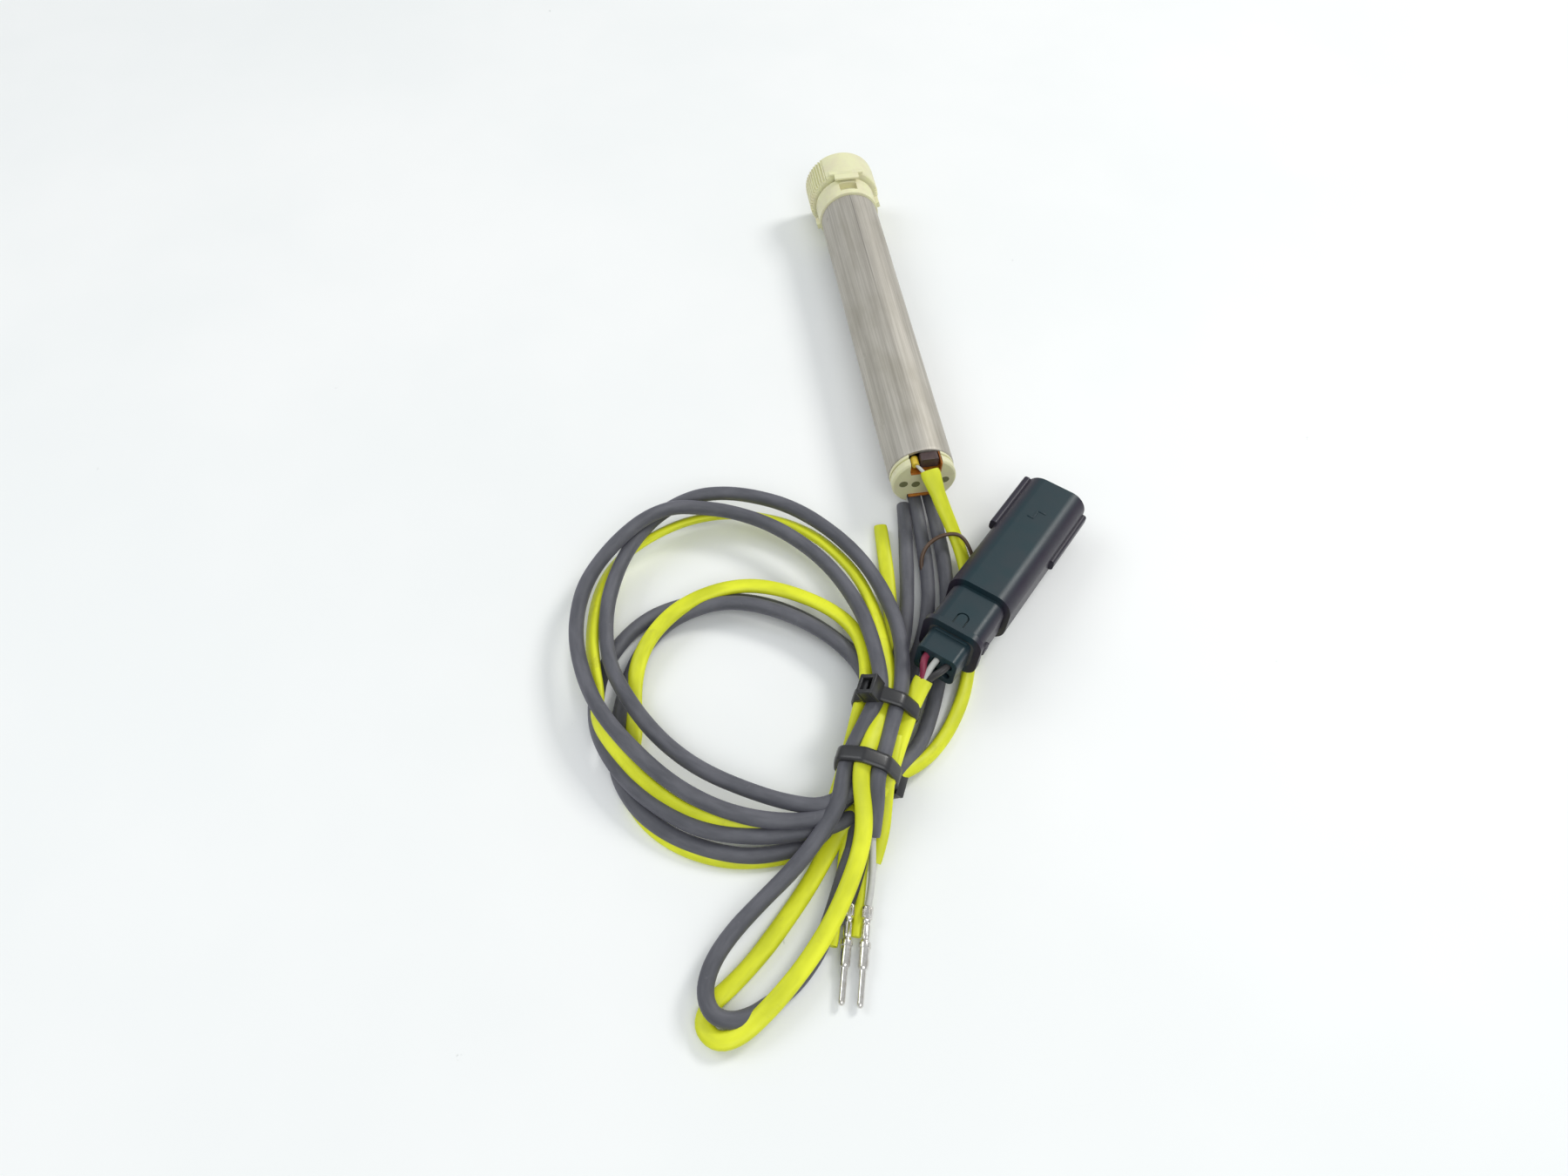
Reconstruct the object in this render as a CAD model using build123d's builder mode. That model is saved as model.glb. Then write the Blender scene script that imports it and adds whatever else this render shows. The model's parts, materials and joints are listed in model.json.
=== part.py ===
from build123d import *

import math
import os

# Twist-grip position sensor: a steel barrel that slides into a handlebar, a splined rotor on its
# outer end, and a sleeved wiring harness with a six-way plug housing and two crimped contacts.
# Millimetres. +Y runs along the barrel from the leads to the rotor, +Z is up, and the table is z = 0.

# Barrel
barrel_radius = 9.5
barrel_bore = 8.6
barrel_length = 112.5
cap_length = 4.0
collar_length = 8.0
rotor_gap = 1.0
head_length = 11.3
head_radius = 11.8
spline_root = 11.15
spline_teeth = 46
collar_radius = 10.0
shaft_radius = 2.5
shaft_clearance = 0.05
spigot_radius = 8.55

# Stations along the barrel, centred on its whole length
whole_length = cap_length + barrel_length + collar_length + rotor_gap + head_length
cap_face = -whole_length / 2
lead_end = cap_face + cap_length
rotor_end = lead_end + barrel_length
collar_face = rotor_end + collar_length
head_near = collar_face + rotor_gap
head_face = head_near + head_length
axis_height = head_radius
barrel_axis = Axis((0, 0, axis_height), (0, 1, 0))

# Harness
sleeve = 4.0
flat_sleeve = 3.4
contact_wire = 1.7
thin_wire = 1.1
strip = 2.0
bundle_radius = 7.4
bundle_height = 8.9
bundle_top = Vector(-20.5, -127, bundle_height)
bundle_bottom = Vector(-36.5, -159.5, bundle_height)
tie_width = 4.0
tie_thickness = 1.2
tie_places = {"cable_tie_upper": (10.0, 150), "cable_tie_lower": (27.3, -35)}

# Connector
plug_rear = Vector(-11.3, -129.2, 15.3)
plug_heading = 43.0
plug_dip = 6.1
plug_length = 68.4
cover_length = 7.6
rear_length = 13.9
waist_length = 1.1
shroud_width = 18.0
shroud_height = 16.0
shroud_depth = 26.0
shroud_start = cover_length + rear_length + waist_length
shroud_floor = plug_length - shroud_depth
terminal_pitch = 4.4
terminal_rows = 4.8
lock_thickness = 2.0

heading, dip = math.radians(plug_heading), math.radians(plug_dip)
plug_axis = Vector(math.sin(heading) * math.cos(dip), math.cos(heading) * math.cos(dip), -math.sin(dip))
plug_left = Vector(-math.cos(heading), math.sin(heading), 0)

os.makedirs("parts", exist_ok=True)


def station(y):
    """A plane across the barrel at y, facing the leads, with x to the right and y up."""
    return Plane(origin=(0, y, axis_height), x_dir=(1, 0, 0), z_dir=(0, -1, 0))


def plug_station(along):
    """A plane across the connector, facing its mouth, with x to its left and y up."""
    return Plane(origin=plug_rear + plug_axis * along, x_dir=plug_left, z_dir=plug_axis)


def disc(outer, low, high, inner=0.0, mode=Mode.ADD):
    """A round piece or ring on the barrel's axis, from y = low to y = high."""
    with BuildSketch(station(high)) as profile:
        Circle(outer)
        if inner:
            Circle(inner, mode=Mode.SUBTRACT)
    extrude(profile.sketch, amount=high - low, mode=mode)


def bar(low, high, left, right, bottom, top, mode=Mode.ADD):
    """A square-edged piece along the barrel; the last four sizes are measured from its axis."""
    with BuildSketch(station(high)) as profile:
        with Locations(((left + right) / 2, (bottom + top) / 2)):
            Rectangle(right - left, top - bottom)
    extrude(profile.sketch, amount=high - low, mode=mode)


def plug_block(start, end, width, height, corner, across=0.0, up=0.0, mode=Mode.ADD):
    """A round-cornered block along the connector."""
    with BuildSketch(plug_station(start)) as profile:
        with Locations((across, up)):
            RectangleRounded(width, height, corner)
    extrude(profile.sketch, amount=end - start, mode=mode)


def bend_radii(points):
    """The largest tangent arc at each inner point: 0.45 of the shorter run over tan(half the turn)."""
    radii = []
    for before, here, after in zip(points, points[1:], points[2:]):
        first, second = Vector(here) - Vector(before), Vector(after) - Vector(here)
        turn = math.radians(first.get_angle(second))
        radii.append(0.45 * min(first.length, second.length) / math.tan(turn / 2))
    return radii


def cord(name, points, diameter):
    """A round cord along straight runs joined by tangent arcs."""
    radii = bend_radii(points)
    print(name, "bend radii", [round(r, 1) for r in radii])
    with BuildLine() as route:
        FilletPolyline(*points, radius=radii)
    with BuildSketch(Plane(origin=route.line @ 0, z_dir=route.line % 0)) as section:
        Circle(diameter / 2)
    sweep(section.sketch, path=route.line)
    print(name, "length", round(route.wires()[0].length, 1))


def save(piece, name):
    """Labels a finished piece and writes its file."""
    piece.part.label = name
    export_step(piece.part, f"parts/{name}.step")


# Barrel tube, with three stake marks pressed into its side
stake_angle = 153
stake_radius = 1.2
stake_depth = 0.35
stake_places = (-48.9, -21.0, 43.2)

with BuildPart() as barrel_tube:
    disc(barrel_radius, lead_end, rotor_end, inner=barrel_bore)
    for stake_y in stake_places:
        reach = barrel_radius + stake_radius - stake_depth
        across = reach * math.cos(math.radians(stake_angle))
        up = reach * math.sin(math.radians(stake_angle))
        with Locations((across, stake_y, axis_height + up)):
            Sphere(stake_radius, mode=Mode.SUBTRACT)
save(barrel_tube, "barrel_tube")

# Collar that closes the tube at the rotor end, with two index tabs and a window
collar_spigot = 12.0
collar_bore = 5.0
lip_chamfer = 1.6
window_width = 5.8
window_ends = (50.5, 54.0)
tab_angles = (18, 198)

with BuildPart() as bearing_collar:
    disc(collar_radius, rotor_end, collar_face, inner=collar_bore)
    lip = bearing_collar.edges().filter_by(GeomType.CIRCLE).sort_by(Axis.Y)
    lip_edge = [edge for edge in lip if edge.radius > barrel_radius][0]
    chamfer(lip_edge, length=0.45, length2=lip_chamfer)
    disc(spigot_radius, rotor_end - collar_spigot, rotor_end, inner=collar_bore)
    bar(window_ends[0], window_ends[1], -window_width / 2, window_width / 2, 7.6, 12, mode=Mode.SUBTRACT)
    for tab_angle in tab_angles:
        with BuildSketch(station(rotor_end + 4.6)) as tab_profile:
            with PolarLocations(10.2, 1, start_angle=tab_angle):
                Rectangle(1.8, 2.0)
        extrude(tab_profile.sketch, amount=3.4)
save(bearing_collar, "bearing_collar")

# Splined rotor head: teeth over most of its edge, a smooth sector on top and a key over the collar
smooth_sector = (20, 125)
tooth_width = 0.62
key_width = 8.2
neck_radius = 8.4
dish_radius = 8.0
dish_depth = 2.2
toothed_arc = 360 - (smooth_sector[1] - smooth_sector[0])

with BuildPart() as rotor_head:
    with BuildSketch(station(head_face)) as head_profile:
        Circle(spline_root)
        with PolarLocations(
            spline_root + 0.2, spline_teeth, start_angle=smooth_sector[1] + 2, angular_range=toothed_arc - 4
        ):
            Rectangle(0.9, tooth_width)
        with BuildLine():
            rim = CenterArc((0, 0), head_radius, smooth_sector[0], smooth_sector[1] - smooth_sector[0])
            Polyline(rim @ 1, (0, 0), rim @ 0)
        make_face()
        Circle(head_radius, mode=Mode.INTERSECT)
    extrude(head_profile.sketch, amount=head_length)
    disc(dish_radius, head_face - dish_depth, head_face, mode=Mode.SUBTRACT)
    disc(neck_radius, collar_face + 0.15, head_near)
    bar(collar_face - 1.6, head_near, -key_width / 2, key_width / 2, 10.45, 11.3)
    disc(shaft_radius, collar_face, head_face - dish_depth, mode=Mode.SUBTRACT)
save(rotor_head, "rotor_head")

# Cap that closes the dish of the head
with BuildPart() as head_plug:
    disc(dish_radius, head_face - 1.4, head_face)
    outer_face = head_plug.faces().sort_by(Axis.Y)[-1]
    chamfer(outer_face.edges(), length=0.3)
save(head_plug, "head_plug")

# Shaft from the head to the magnet carrier, with a groove for its clip
shaft_low = 18.0
clip_low = 25.2
clip_thickness = 0.8

with BuildPart() as rotor_shaft:
    disc(shaft_radius, shaft_low, head_face - dish_depth)
    disc(shaft_radius, clip_low, clip_low + clip_thickness, inner=shaft_radius - 0.5, mode=Mode.SUBTRACT)
save(rotor_shaft, "rotor_shaft")

with BuildPart() as retaining_clip:
    disc(4.0, clip_low, clip_low + clip_thickness, inner=shaft_radius - 0.5)
    bar(clip_low, clip_low + clip_thickness, -1.2, 1.2, -4.2, 0, mode=Mode.SUBTRACT)
save(retaining_clip, "retaining_clip")

with BuildPart() as magnet_carrier:
    disc(6.0, shaft_low - 3.5, shaft_low + 4.0)
    disc(shaft_radius, shaft_low, shaft_low + 4.0, mode=Mode.SUBTRACT)
    disc(5.0, shaft_low - 3.5, shaft_low - 0.5, mode=Mode.SUBTRACT)
save(magnet_carrier, "magnet_carrier")

with BuildPart() as ring_magnet:
    disc(5.0, shaft_low - 3.5, shaft_low - 0.5, inner=1.5)
save(ring_magnet, "ring_magnet")

# Bushes, the wall that holds the rear one, washer and seal
bush_bore = shaft_radius + shaft_clearance
wall_low = 27.0

with BuildPart() as front_bush:
    disc(collar_bore, rotor_end - collar_spigot, rotor_end + 1.0, inner=bush_bore)
save(front_bush, "front_bush")

with BuildPart() as shaft_seal:
    disc(collar_bore, rotor_end + 1.6, rotor_end + 3.8, inner=bush_bore)
save(shaft_seal, "shaft_seal")

with BuildPart() as thrust_washer:
    disc(4.6, clip_low + clip_thickness + 0.1, wall_low, inner=bush_bore + 0.1)
save(thrust_washer, "thrust_washer")

with BuildPart() as bush_wall:
    disc(spigot_radius, wall_low, wall_low + 4.5, inner=4.4)
save(bush_wall, "bush_wall")

with BuildPart() as rear_bush:
    disc(4.4, wall_low, wall_low + 4.5, inner=bush_bore)
save(rear_bush, "rear_bush")

# Return spring round the shaft, between the bushes
spring_wire = 0.8
spring_radius = 4.4
spring_low = wall_low + 4.5 + spring_wire / 2 + 0.1
spring_turns = 3.0
spring_pitch = 1.2

with BuildPart() as return_spring:
    with BuildLine() as coil:
        Helix(
            spring_pitch, spring_pitch * spring_turns, spring_radius,
            center=(0, spring_low, axis_height), direction=(0, 1, 0),
        )
    with BuildSketch(Plane(origin=coil.line @ 0, z_dir=coil.line % 0)) as wire_section:
        Circle(spring_wire / 2)
    sweep(wire_section.sketch, path=coil.line)
save(return_spring, "return_spring")

# Board in its half-round carrier, with the magnetic sensors facing the magnet
carrier_low = lead_end + 8.0
carrier_high = 12.5
board_width = 13.6
board_thickness = 1.2
board_top = -1.0

with BuildPart() as board_carrier:
    disc(8.4, carrier_low, carrier_high, inner=7.3)
    bar(carrier_low, carrier_high, -9, 9, 1.5, 9, mode=Mode.SUBTRACT)
    for rib_left in (-6.2, 4.4):
        bar(carrier_low + 2, carrier_high - 2, rib_left, rib_left + 1.8, -5.2, board_top - board_thickness)
save(board_carrier, "board_carrier")

with BuildPart() as circuit_board:
    bar(
        carrier_low + 3, carrier_high - 3,
        -board_width / 2, board_width / 2, board_top - board_thickness, board_top,
    )
save(circuit_board, "circuit_board")

with BuildPart() as hall_sensors:
    for side in (-1, 1):
        bar(5.0, 8.5, side * 3 - 2.0, side * 3 + 2.0, board_top, board_top + 1.5)
save(hall_sensors, "hall_sensors")

with BuildPart() as board_parts:
    for place, depth, height in (
        (-44, 4.0, 2.4), (-36, 3.0, 1.6), (-28, 5.0, 1.8), (-16, 3.0, 1.2), (-6, 4.0, 1.2)
    ):
        for side in (-1, 1):
            bar(place, place + depth, side * 3 - 1.6, side * 3 + 1.6, board_top, board_top + height)
save(board_parts, "board_parts")

# Cap at the lead end: rim, groove and disc, with a notch above, a notch below and three holes
cap_radius = 9.3
cap_spigot = 6.0
notch_half = 4.5
upper_floor = 4.3
lower_floor = -4.8
hole_radius = 0.85
groove = (lead_end - 1.5, lead_end - 0.9)

with BuildPart() as lead_cap:
    disc(cap_radius, cap_face, lead_end)
    chamfer(lead_cap.edges().sort_by(Axis.Y)[0], length=0.5)
    disc(cap_radius + 1, groove[0], groove[1], inner=8.6, mode=Mode.SUBTRACT)
    disc(spigot_radius, lead_end, lead_end + cap_spigot)
    bar(cap_face, lead_end, -notch_half, notch_half, upper_floor, 12, mode=Mode.SUBTRACT)
    bar(cap_face, lead_end, -notch_half, notch_half, -12, lower_floor, mode=Mode.SUBTRACT)
    with BuildSketch(station(lead_end)) as holes:
        with Locations((-6, 0), (6, 0), (-2.4, -0.6)):
            Circle(hole_radius)
    extrude(holes.sketch, amount=cap_length, mode=Mode.SUBTRACT)
save(lead_cap, "lead_cap")

with BuildPart() as lead_grommet:
    bar(cap_face + 1.2, lead_end, -1.5, 3.8, 5.0, 8.4)
    fillet(lead_grommet.edges().filter_by(Axis.Y), radius=0.8)
save(lead_grommet, "lead_grommet")

with BuildPart() as amber_film_top:
    bar(cap_face - 0.5, lead_end, -4.3, 4.3, upper_floor, upper_floor + 0.3)
    bar(cap_face - 0.5, lead_end, 4.0, 4.3, upper_floor, 8.0)
save(amber_film_top, "amber_film_top")

with BuildPart() as amber_film_bottom:
    bar(cap_face - 0.8, lead_end, -4.3, 4.3, lower_floor - 0.3, lower_floor)
save(amber_film_bottom, "amber_film_bottom")

with BuildPart() as splice_tube:
    with BuildSketch(station(lead_end)) as splice_profile:
        with Locations((-2.8, 6.3)):
            Circle(1.1)
    extrude(splice_profile.sketch, amount=3.0)
save(splice_tube, "splice_tube")

# Sleeves and wires that lie free. Each route is a list of points from its first end to its last.
routes = {
    "lead_a_feed": (sleeve, [
        (-2.1, lead_end, 4.6), (-2.1, -72, 4.6), (-2.9, -83, 2.4), (-4.6, -96, 2.1),
        (-8, -109, 2.2), (-13.5, -119.5, 2.6), (-19, -127.5, 4.5),
    ]),
    "lead_b_feed": (sleeve, [
        (2.2, lead_end, 4.6), (2.2, -72, 4.6), (2.6, -83, 2.4), (1.2, -96, 2.1),
        (-2, -110, 2.2), (-6.6, -123.5, 2.1), (-11.4, -135.5, 2.2), (-16.6, -144.8, 3.2), (-24.5, -149.6, 6.2),
    ]),
    "signal_feed": (flat_sleeve, [
        (1.2, cap_face + 1.2, 18.3), (1.2, -71, 18.3), (3.6, -77, 13), (5.8, -83, 6.4), (7, -90, 2.8),
        (6.4, -101, 1.8), (3.6, -114, 1.9), (-0.4, -127, 1.8), (-6.2, -138.5, 1.8), (-13.6, -147.6, 2.4),
        (-23.4, -151.4, 5.4),
    ]),
    "dark_tail": (sleeve, [
        (-6.8, -73.5, 2.7), (-8, -83, 2.2), (-9.7, -95, 2.3), (-12.2, -107, 3.4),
        (-15.8, -117.5, 6), (-20.5, -127.5, 9),
    ]),
    "yellow_tail": (flat_sleeve, [
        (-13.3, -75, 1.8), (-14.1, -86, 1.9), (-15.2, -98, 1.8), (-16.9, -109, 2.7),
        (-18.8, -119, 5.2), (-22, -128, 8.5),
    ]),
    "dark_end_long": (sleeve, [
        (-35, -160, 6), (-38.2, -169, 4.6), (-42.6, -178, 4.5), (-47.2, -186.5, 4.3),
    ]),
    "dark_end_short": (sleeve, [(-31.6, -159.5, 7.5), (-32.6, -163.2, 6), (-34.2, -167.5, 4.8)]),
    "yellow_end_left": (strip, [
        (-36.5, -159.5, 8), (-40, -169, 2.4), (-43.6, -178.5, 1.2), (-47.6, -190.5, 1.1),
    ]),
    "yellow_end_middle": (strip, [
        (-33.4, -160, 4), (-35.6, -170, 1.4), (-38.8, -180, 1.1), (-42.1, -189.2, 1.1),
    ]),
    "yellow_end_right": (strip, [
        (-29.8, -158.5, 9), (-30.4, -163.5, 6), (-31.8, -168, 3), (-34.3, -172.5, 1.3),
    ]),
    "white_contact_wire": (contact_wire, [
        (-34.2, -167.5, 4.8), (-34.9, -172.5, 3.9), (-36, -178, 3), (-38.2, -183.2, 2.4),
    ]),
    "black_contact_wire": (contact_wire, [
        (-33.8, -160.5, 5), (-35.4, -168, 4.2), (-38, -175.5, 3.2), (-42.2, -182, 2.4),
    ]),
    "jumper_wire": (thin_wire, [
        (-11.6, -113.5, 6.4), (-9.5, -103, 5.3), (-6.6, -94, 5.6), (-3.2, -87, 7), (1.8, -84, 7.9),
        (7.2, -86.4, 8.2), (9.4, -91.6, 4.6), (11, -96, 1),
    ]),
    "red_wire": (1.9, [(-13.6, -127, 17.1), (-15.2, -129.2, 16.6), (-15.3, -131.7, 14.6)]),
    "white_wire": (1.7, [(-11.3, -129.2, 17.1), (-13.1, -130.7, 16.2), (-14.6, -132, 14.6)]),
    "black_wire": (1.9, [(-9.1, -131.5, 17.1), (-12, -132.6, 16.3), (-14.5, -133, 14.2)]),
    "signal_rise": (4.6, [(-14.4, -131.9, 14.8), (-16.2, -133, 13.2), (-18.6, -133.7, 11.6)]),
}
for name, (diameter, points) in routes.items():
    with BuildPart() as free_cord:
        cord(name, points, diameter)
    save(free_cord, name)

# The sleeves where the two ties hold them, as one round bundle
bundle_length = (bundle_bottom - bundle_top).length
bundle_plane = Plane(origin=bundle_top, z_dir=bundle_bottom - bundle_top)

with BuildPart() as tied_bundle:
    with BuildSketch(bundle_plane):
        Circle(bundle_radius)
    extrude(amount=bundle_length)
save(tied_bundle, "tied_bundle")

# The coil's turns on each side of the bundle: a wide oval pair above and a round set below
tied_zone = Plane(origin=bundle_top, x_dir=(0, 0, 1), z_dir=bundle_bottom - bundle_top)
wide_centre = (-58, -111)
wide_radii = (49.5, 38.0)
wide_lean = 109
inner_centre = (-60, -130)
inner_radius = 36.0

with BuildPart() as wide_turns:
    with BuildSketch(Plane.XY.offset(7.4)):
        with Locations(Location((wide_centre[0], wide_centre[1]), wide_lean)):
            Ellipse(wide_radii[0] + 4, wide_radii[1] + 4)
            Ellipse(wide_radii[0] - 4, wide_radii[1] - 4, mode=Mode.SUBTRACT)
    extrude(amount=4)
    with BuildSketch(tied_zone):
        Rectangle(60, 44)
    extrude(amount=bundle_length, mode=Mode.SUBTRACT)
save(wide_turns, "wide_turns")

with BuildPart() as inner_turns:
    with BuildSketch(Plane.XY.offset(1.7)):
        with Locations(inner_centre):
            Circle(inner_radius + 6)
            Circle(inner_radius - 6, mode=Mode.SUBTRACT)
    extrude(amount=5.5)
    with BuildSketch(tied_zone):
        Rectangle(60, 44)
    extrude(amount=bundle_length, mode=Mode.SUBTRACT)
save(inner_turns, "inner_turns")

# The long slim loop below the ties
hank_foot = (-67.5, -194.5)
hank_neck = (-41, -164.5)

with BuildPart() as hank:
    with BuildSketch(Plane.XY.offset(0.4)) as hank_outline:
        with Locations(hank_foot):
            Circle(10)
        with Locations(hank_neck):
            Circle(5.5)
        make_hull()
    extrude(amount=6.4)
    with BuildSketch(Plane.XY.offset(0.4)):
        with Locations(hank_foot):
            Circle(4.5)
        with Locations((-52, -177)):
            Circle(2)
        make_hull()
    extrude(amount=6.4, mode=Mode.SUBTRACT)
    with BuildSketch(tied_zone):
        Rectangle(60, 44)
    extrude(amount=bundle_length, mode=Mode.SUBTRACT)
save(hank, "hank")

# Two cable ties: a strap round the bundle, a head with a slot and a short cut tail
for name, (along, head_angle) in tie_places.items():
    tie_plane = bundle_plane.offset(along - tie_width / 2)
    tie_up = Plane(origin=tie_plane.origin, x_dir=Vector(0, 0, 1).cross(tie_plane.z_dir), z_dir=tie_plane.z_dir)
    with BuildPart() as cable_tie:
        with BuildSketch(tie_up):
            Circle(bundle_radius + tie_thickness)
            Circle(bundle_radius, mode=Mode.SUBTRACT)
        extrude(amount=tie_width)
        with BuildSketch(tie_up.offset(-0.8)):
            with PolarLocations(bundle_radius + 2.6, 1, start_angle=head_angle):
                Rectangle(4.6, 5.4)
            Circle(bundle_radius, mode=Mode.SUBTRACT)
        extrude(amount=tie_width + 1.6)
        with BuildSketch(tie_up.offset(0.6)):
            with PolarLocations(bundle_radius + 3.2, 1, start_angle=head_angle):
                Rectangle(1.5, 9)
        extrude(amount=tie_width - 1.2, mode=Mode.SUBTRACT)
    save(cable_tie, name)

# Crimped contacts: wings round the sleeve of the wire, wire crimp, barrel and round pin
contact_places = {
    "contact_pin_left": (Vector(-42.2, -182, 2.4), Vector(-48.2, -203.8, 1.6)),
    "contact_pin_right": (Vector(-38.2, -183.2, 2.4), Vector(-44.2, -205, 1.6)),
}
contact_pin_radius = 0.8
contact_profile = [
    (0, 0), (1.35, 0), (1.35, 2.8), (0.95, 3.4), (0.95, 7.4), (1.45, 8.2), (1.45, 9.4), (1.25, 9.6),
    (1.25, 14), (contact_pin_radius, 14.4), (contact_pin_radius, 22), (0.4, 22.6), (0, 22.6),
]

for name, (crimp, tip) in contact_places.items():
    pin_axis = (tip - crimp).normalized()
    pin_side = pin_axis.cross(Vector(0, 0, 1))
    pin_plane = Plane(origin=crimp, x_dir=pin_side, z_dir=pin_side.cross(pin_axis))
    with BuildPart() as contact_pin:
        with BuildSketch(pin_plane) as half:
            with BuildLine():
                Polyline(*contact_profile, close=True)
            make_face()
        revolve(axis=Axis(crimp, pin_plane.y_dir))
    save(contact_pin, name)

# Connector housing: rear section with a latch rim, a waist, and a shroud with two side rails
cavities = [
    (column * terminal_pitch, row * terminal_rows / 2) for column in (-1, 0, 1) for row in (-1, 1)
]
rail_length = 21.0

with BuildPart() as connector_housing:
    plug_block(cover_length, shroud_start, 15.2, 13.0, 3.4)
    plug_block(cover_length, cover_length + 1.6, 16.6, 14.2, 3.6)
    plug_block(shroud_start - waist_length, shroud_start, 20, 20, 1, mode=Mode.SUBTRACT)
    plug_block(shroud_start - waist_length, shroud_start, 14.2, 12.0, 3.0)
    plug_block(shroud_start, plug_length, shroud_width, shroud_height, 5.0)
    for rail_side, rail_up in ((1, 4.2), (-1, 0.5)):
        plug_block(
            plug_length - rail_length, plug_length, 2.2, 3.4, 0.9, across=rail_side * 9.1, up=rail_up
        )
    plug_block(shroud_floor, plug_length, 14.8, 12.8, 3.6, mode=Mode.SUBTRACT)
    plug_block(cover_length, cover_length + 6, 12.8, 9.6, 2.0, mode=Mode.SUBTRACT)
    for across, up in cavities:
        plug_block(cover_length + 6, shroud_floor, 2.5, 2.5, 0.3, across=across, up=up, mode=Mode.SUBTRACT)
    tongue_face = Plane(
        origin=plug_rear + plug_axis * cover_length, x_dir=plug_axis, z_dir=plug_axis.cross(plug_left)
    ).offset(6.5)
    with BuildSketch(tongue_face) as tongue_cut:
        with Locations((2.9, 0)):
            SlotCenterToCenter(3.6, 3.4)
            SlotCenterToCenter(3.6, 2.6, mode=Mode.SUBTRACT)
        with Locations((0.2, 0)):
            Rectangle(3.6, 4, mode=Mode.SUBTRACT)
    extrude(tongue_cut.sketch, amount=-0.6, mode=Mode.SUBTRACT)
save(connector_housing, "connector_housing")

with BuildPart() as rear_cover:
    plug_block(0, cover_length, 11.4, 9.2, 1.8)
    for across, up in cavities:
        plug_block(0, cover_length, 2.3, 2.3, 1.1, across=across * 0.75, up=up * 0.75, mode=Mode.SUBTRACT)
save(rear_cover, "rear_cover")

with BuildPart() as wire_seal:
    plug_block(cover_length, cover_length + 5.4, 12.8, 9.6, 2.0)
    for across, up in cavities:
        plug_block(cover_length, cover_length + 5.4, 1.8, 1.8, 0.85, across=across, up=up, mode=Mode.SUBTRACT)
save(wire_seal, "wire_seal")

blade_end = plug_length - 11.0
crimp_start = cover_length + 7
crimp_end = crimp_start + 14

with BuildPart() as blade_terminals:
    for across, up in cavities:
        plug_block(crimp_start, crimp_end, 2.1, 2.1, 0.25, across=across, up=up)
        plug_block(crimp_end, blade_end, 1.5, 0.64, 0.15, across=across, up=up)
save(blade_terminals, "blade_terminals")

with BuildPart() as terminal_lock:
    plug_block(shroud_floor, shroud_floor + lock_thickness, 14.2, 12.2, 3.3)
    for across, up in cavities:
        plug_block(
            shroud_floor, shroud_floor + lock_thickness, 2.1, 1.3, 0.2, across=across, up=up, mode=Mode.SUBTRACT
        )
save(terminal_lock, "terminal_lock")
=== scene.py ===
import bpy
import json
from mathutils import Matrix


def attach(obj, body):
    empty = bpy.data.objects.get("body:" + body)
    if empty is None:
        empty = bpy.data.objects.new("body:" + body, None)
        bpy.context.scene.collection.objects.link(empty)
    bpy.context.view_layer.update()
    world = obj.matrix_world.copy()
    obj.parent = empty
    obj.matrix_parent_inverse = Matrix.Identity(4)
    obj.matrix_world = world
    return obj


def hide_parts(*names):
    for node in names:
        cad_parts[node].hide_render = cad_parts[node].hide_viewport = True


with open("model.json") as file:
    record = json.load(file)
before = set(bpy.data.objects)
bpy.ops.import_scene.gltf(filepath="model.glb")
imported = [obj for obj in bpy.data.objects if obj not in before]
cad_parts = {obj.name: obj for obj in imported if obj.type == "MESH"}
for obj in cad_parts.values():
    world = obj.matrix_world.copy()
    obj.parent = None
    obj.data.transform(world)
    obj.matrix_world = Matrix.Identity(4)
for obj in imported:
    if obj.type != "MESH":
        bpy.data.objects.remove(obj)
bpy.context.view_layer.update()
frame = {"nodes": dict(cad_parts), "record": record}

import json
import math

import bmesh
import bpy
import numpy as np
from mathutils import Matrix, Vector

# A twist-grip position sensor on a pale table: a steel barrel with a splined head, and its harness
# of dark and yellow sleeves, coiled, tied twice, with a plug housing and two crimped contacts.
# Sizes in the tables below are millimetres; MM turns them into metres.
MM = 0.001
scene = bpy.context.scene
HARNESS = "sensor_and_harness"
ROTOR = "rotor"
LOCK = "terminal_lock"
AXIS_HEIGHT = 11.8
TUBE_RADIUS = 9.5
CAP_FACE = -68.4
FULL_TURN = 2 * math.pi

# ---------------------------------------------------------------- camera and light

camera = bpy.data.objects.new("camera", bpy.data.cameras.new("camera"))
scene.collection.objects.link(camera)
camera.location = (-0.0702, -0.2634, 0.2629)
camera.rotation_euler = (math.radians(33.655), 0, math.radians(-8.716))
camera.data.lens = 26.0
camera.data.sensor_width = 36.0
camera.data.clip_start = 0.01
scene.camera = camera

scene.view_settings.view_transform = "Standard"
scene.view_settings.look = "None"
scene.view_settings.exposure = 0.0

world = bpy.data.worlds.new("room")
scene.world = world
world.use_nodes = True
background = world.node_tree.nodes["Background"]
background.inputs["Color"].default_value = (0.95, 0.98, 1.0, 1.0)
background.inputs["Strength"].default_value = 0.50


def lamp(name, place, target, size, power, colour):
    """A square soft light at place that faces target."""
    data = bpy.data.lights.new(name, "AREA")
    data.size = size
    data.energy = power
    data.color = colour
    light = bpy.data.objects.new(name, data)
    scene.collection.objects.link(light)
    light.location = place
    light.rotation_euler = (Vector(target) - Vector(place)).to_track_quat("-Z", "Y").to_euler()


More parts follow.
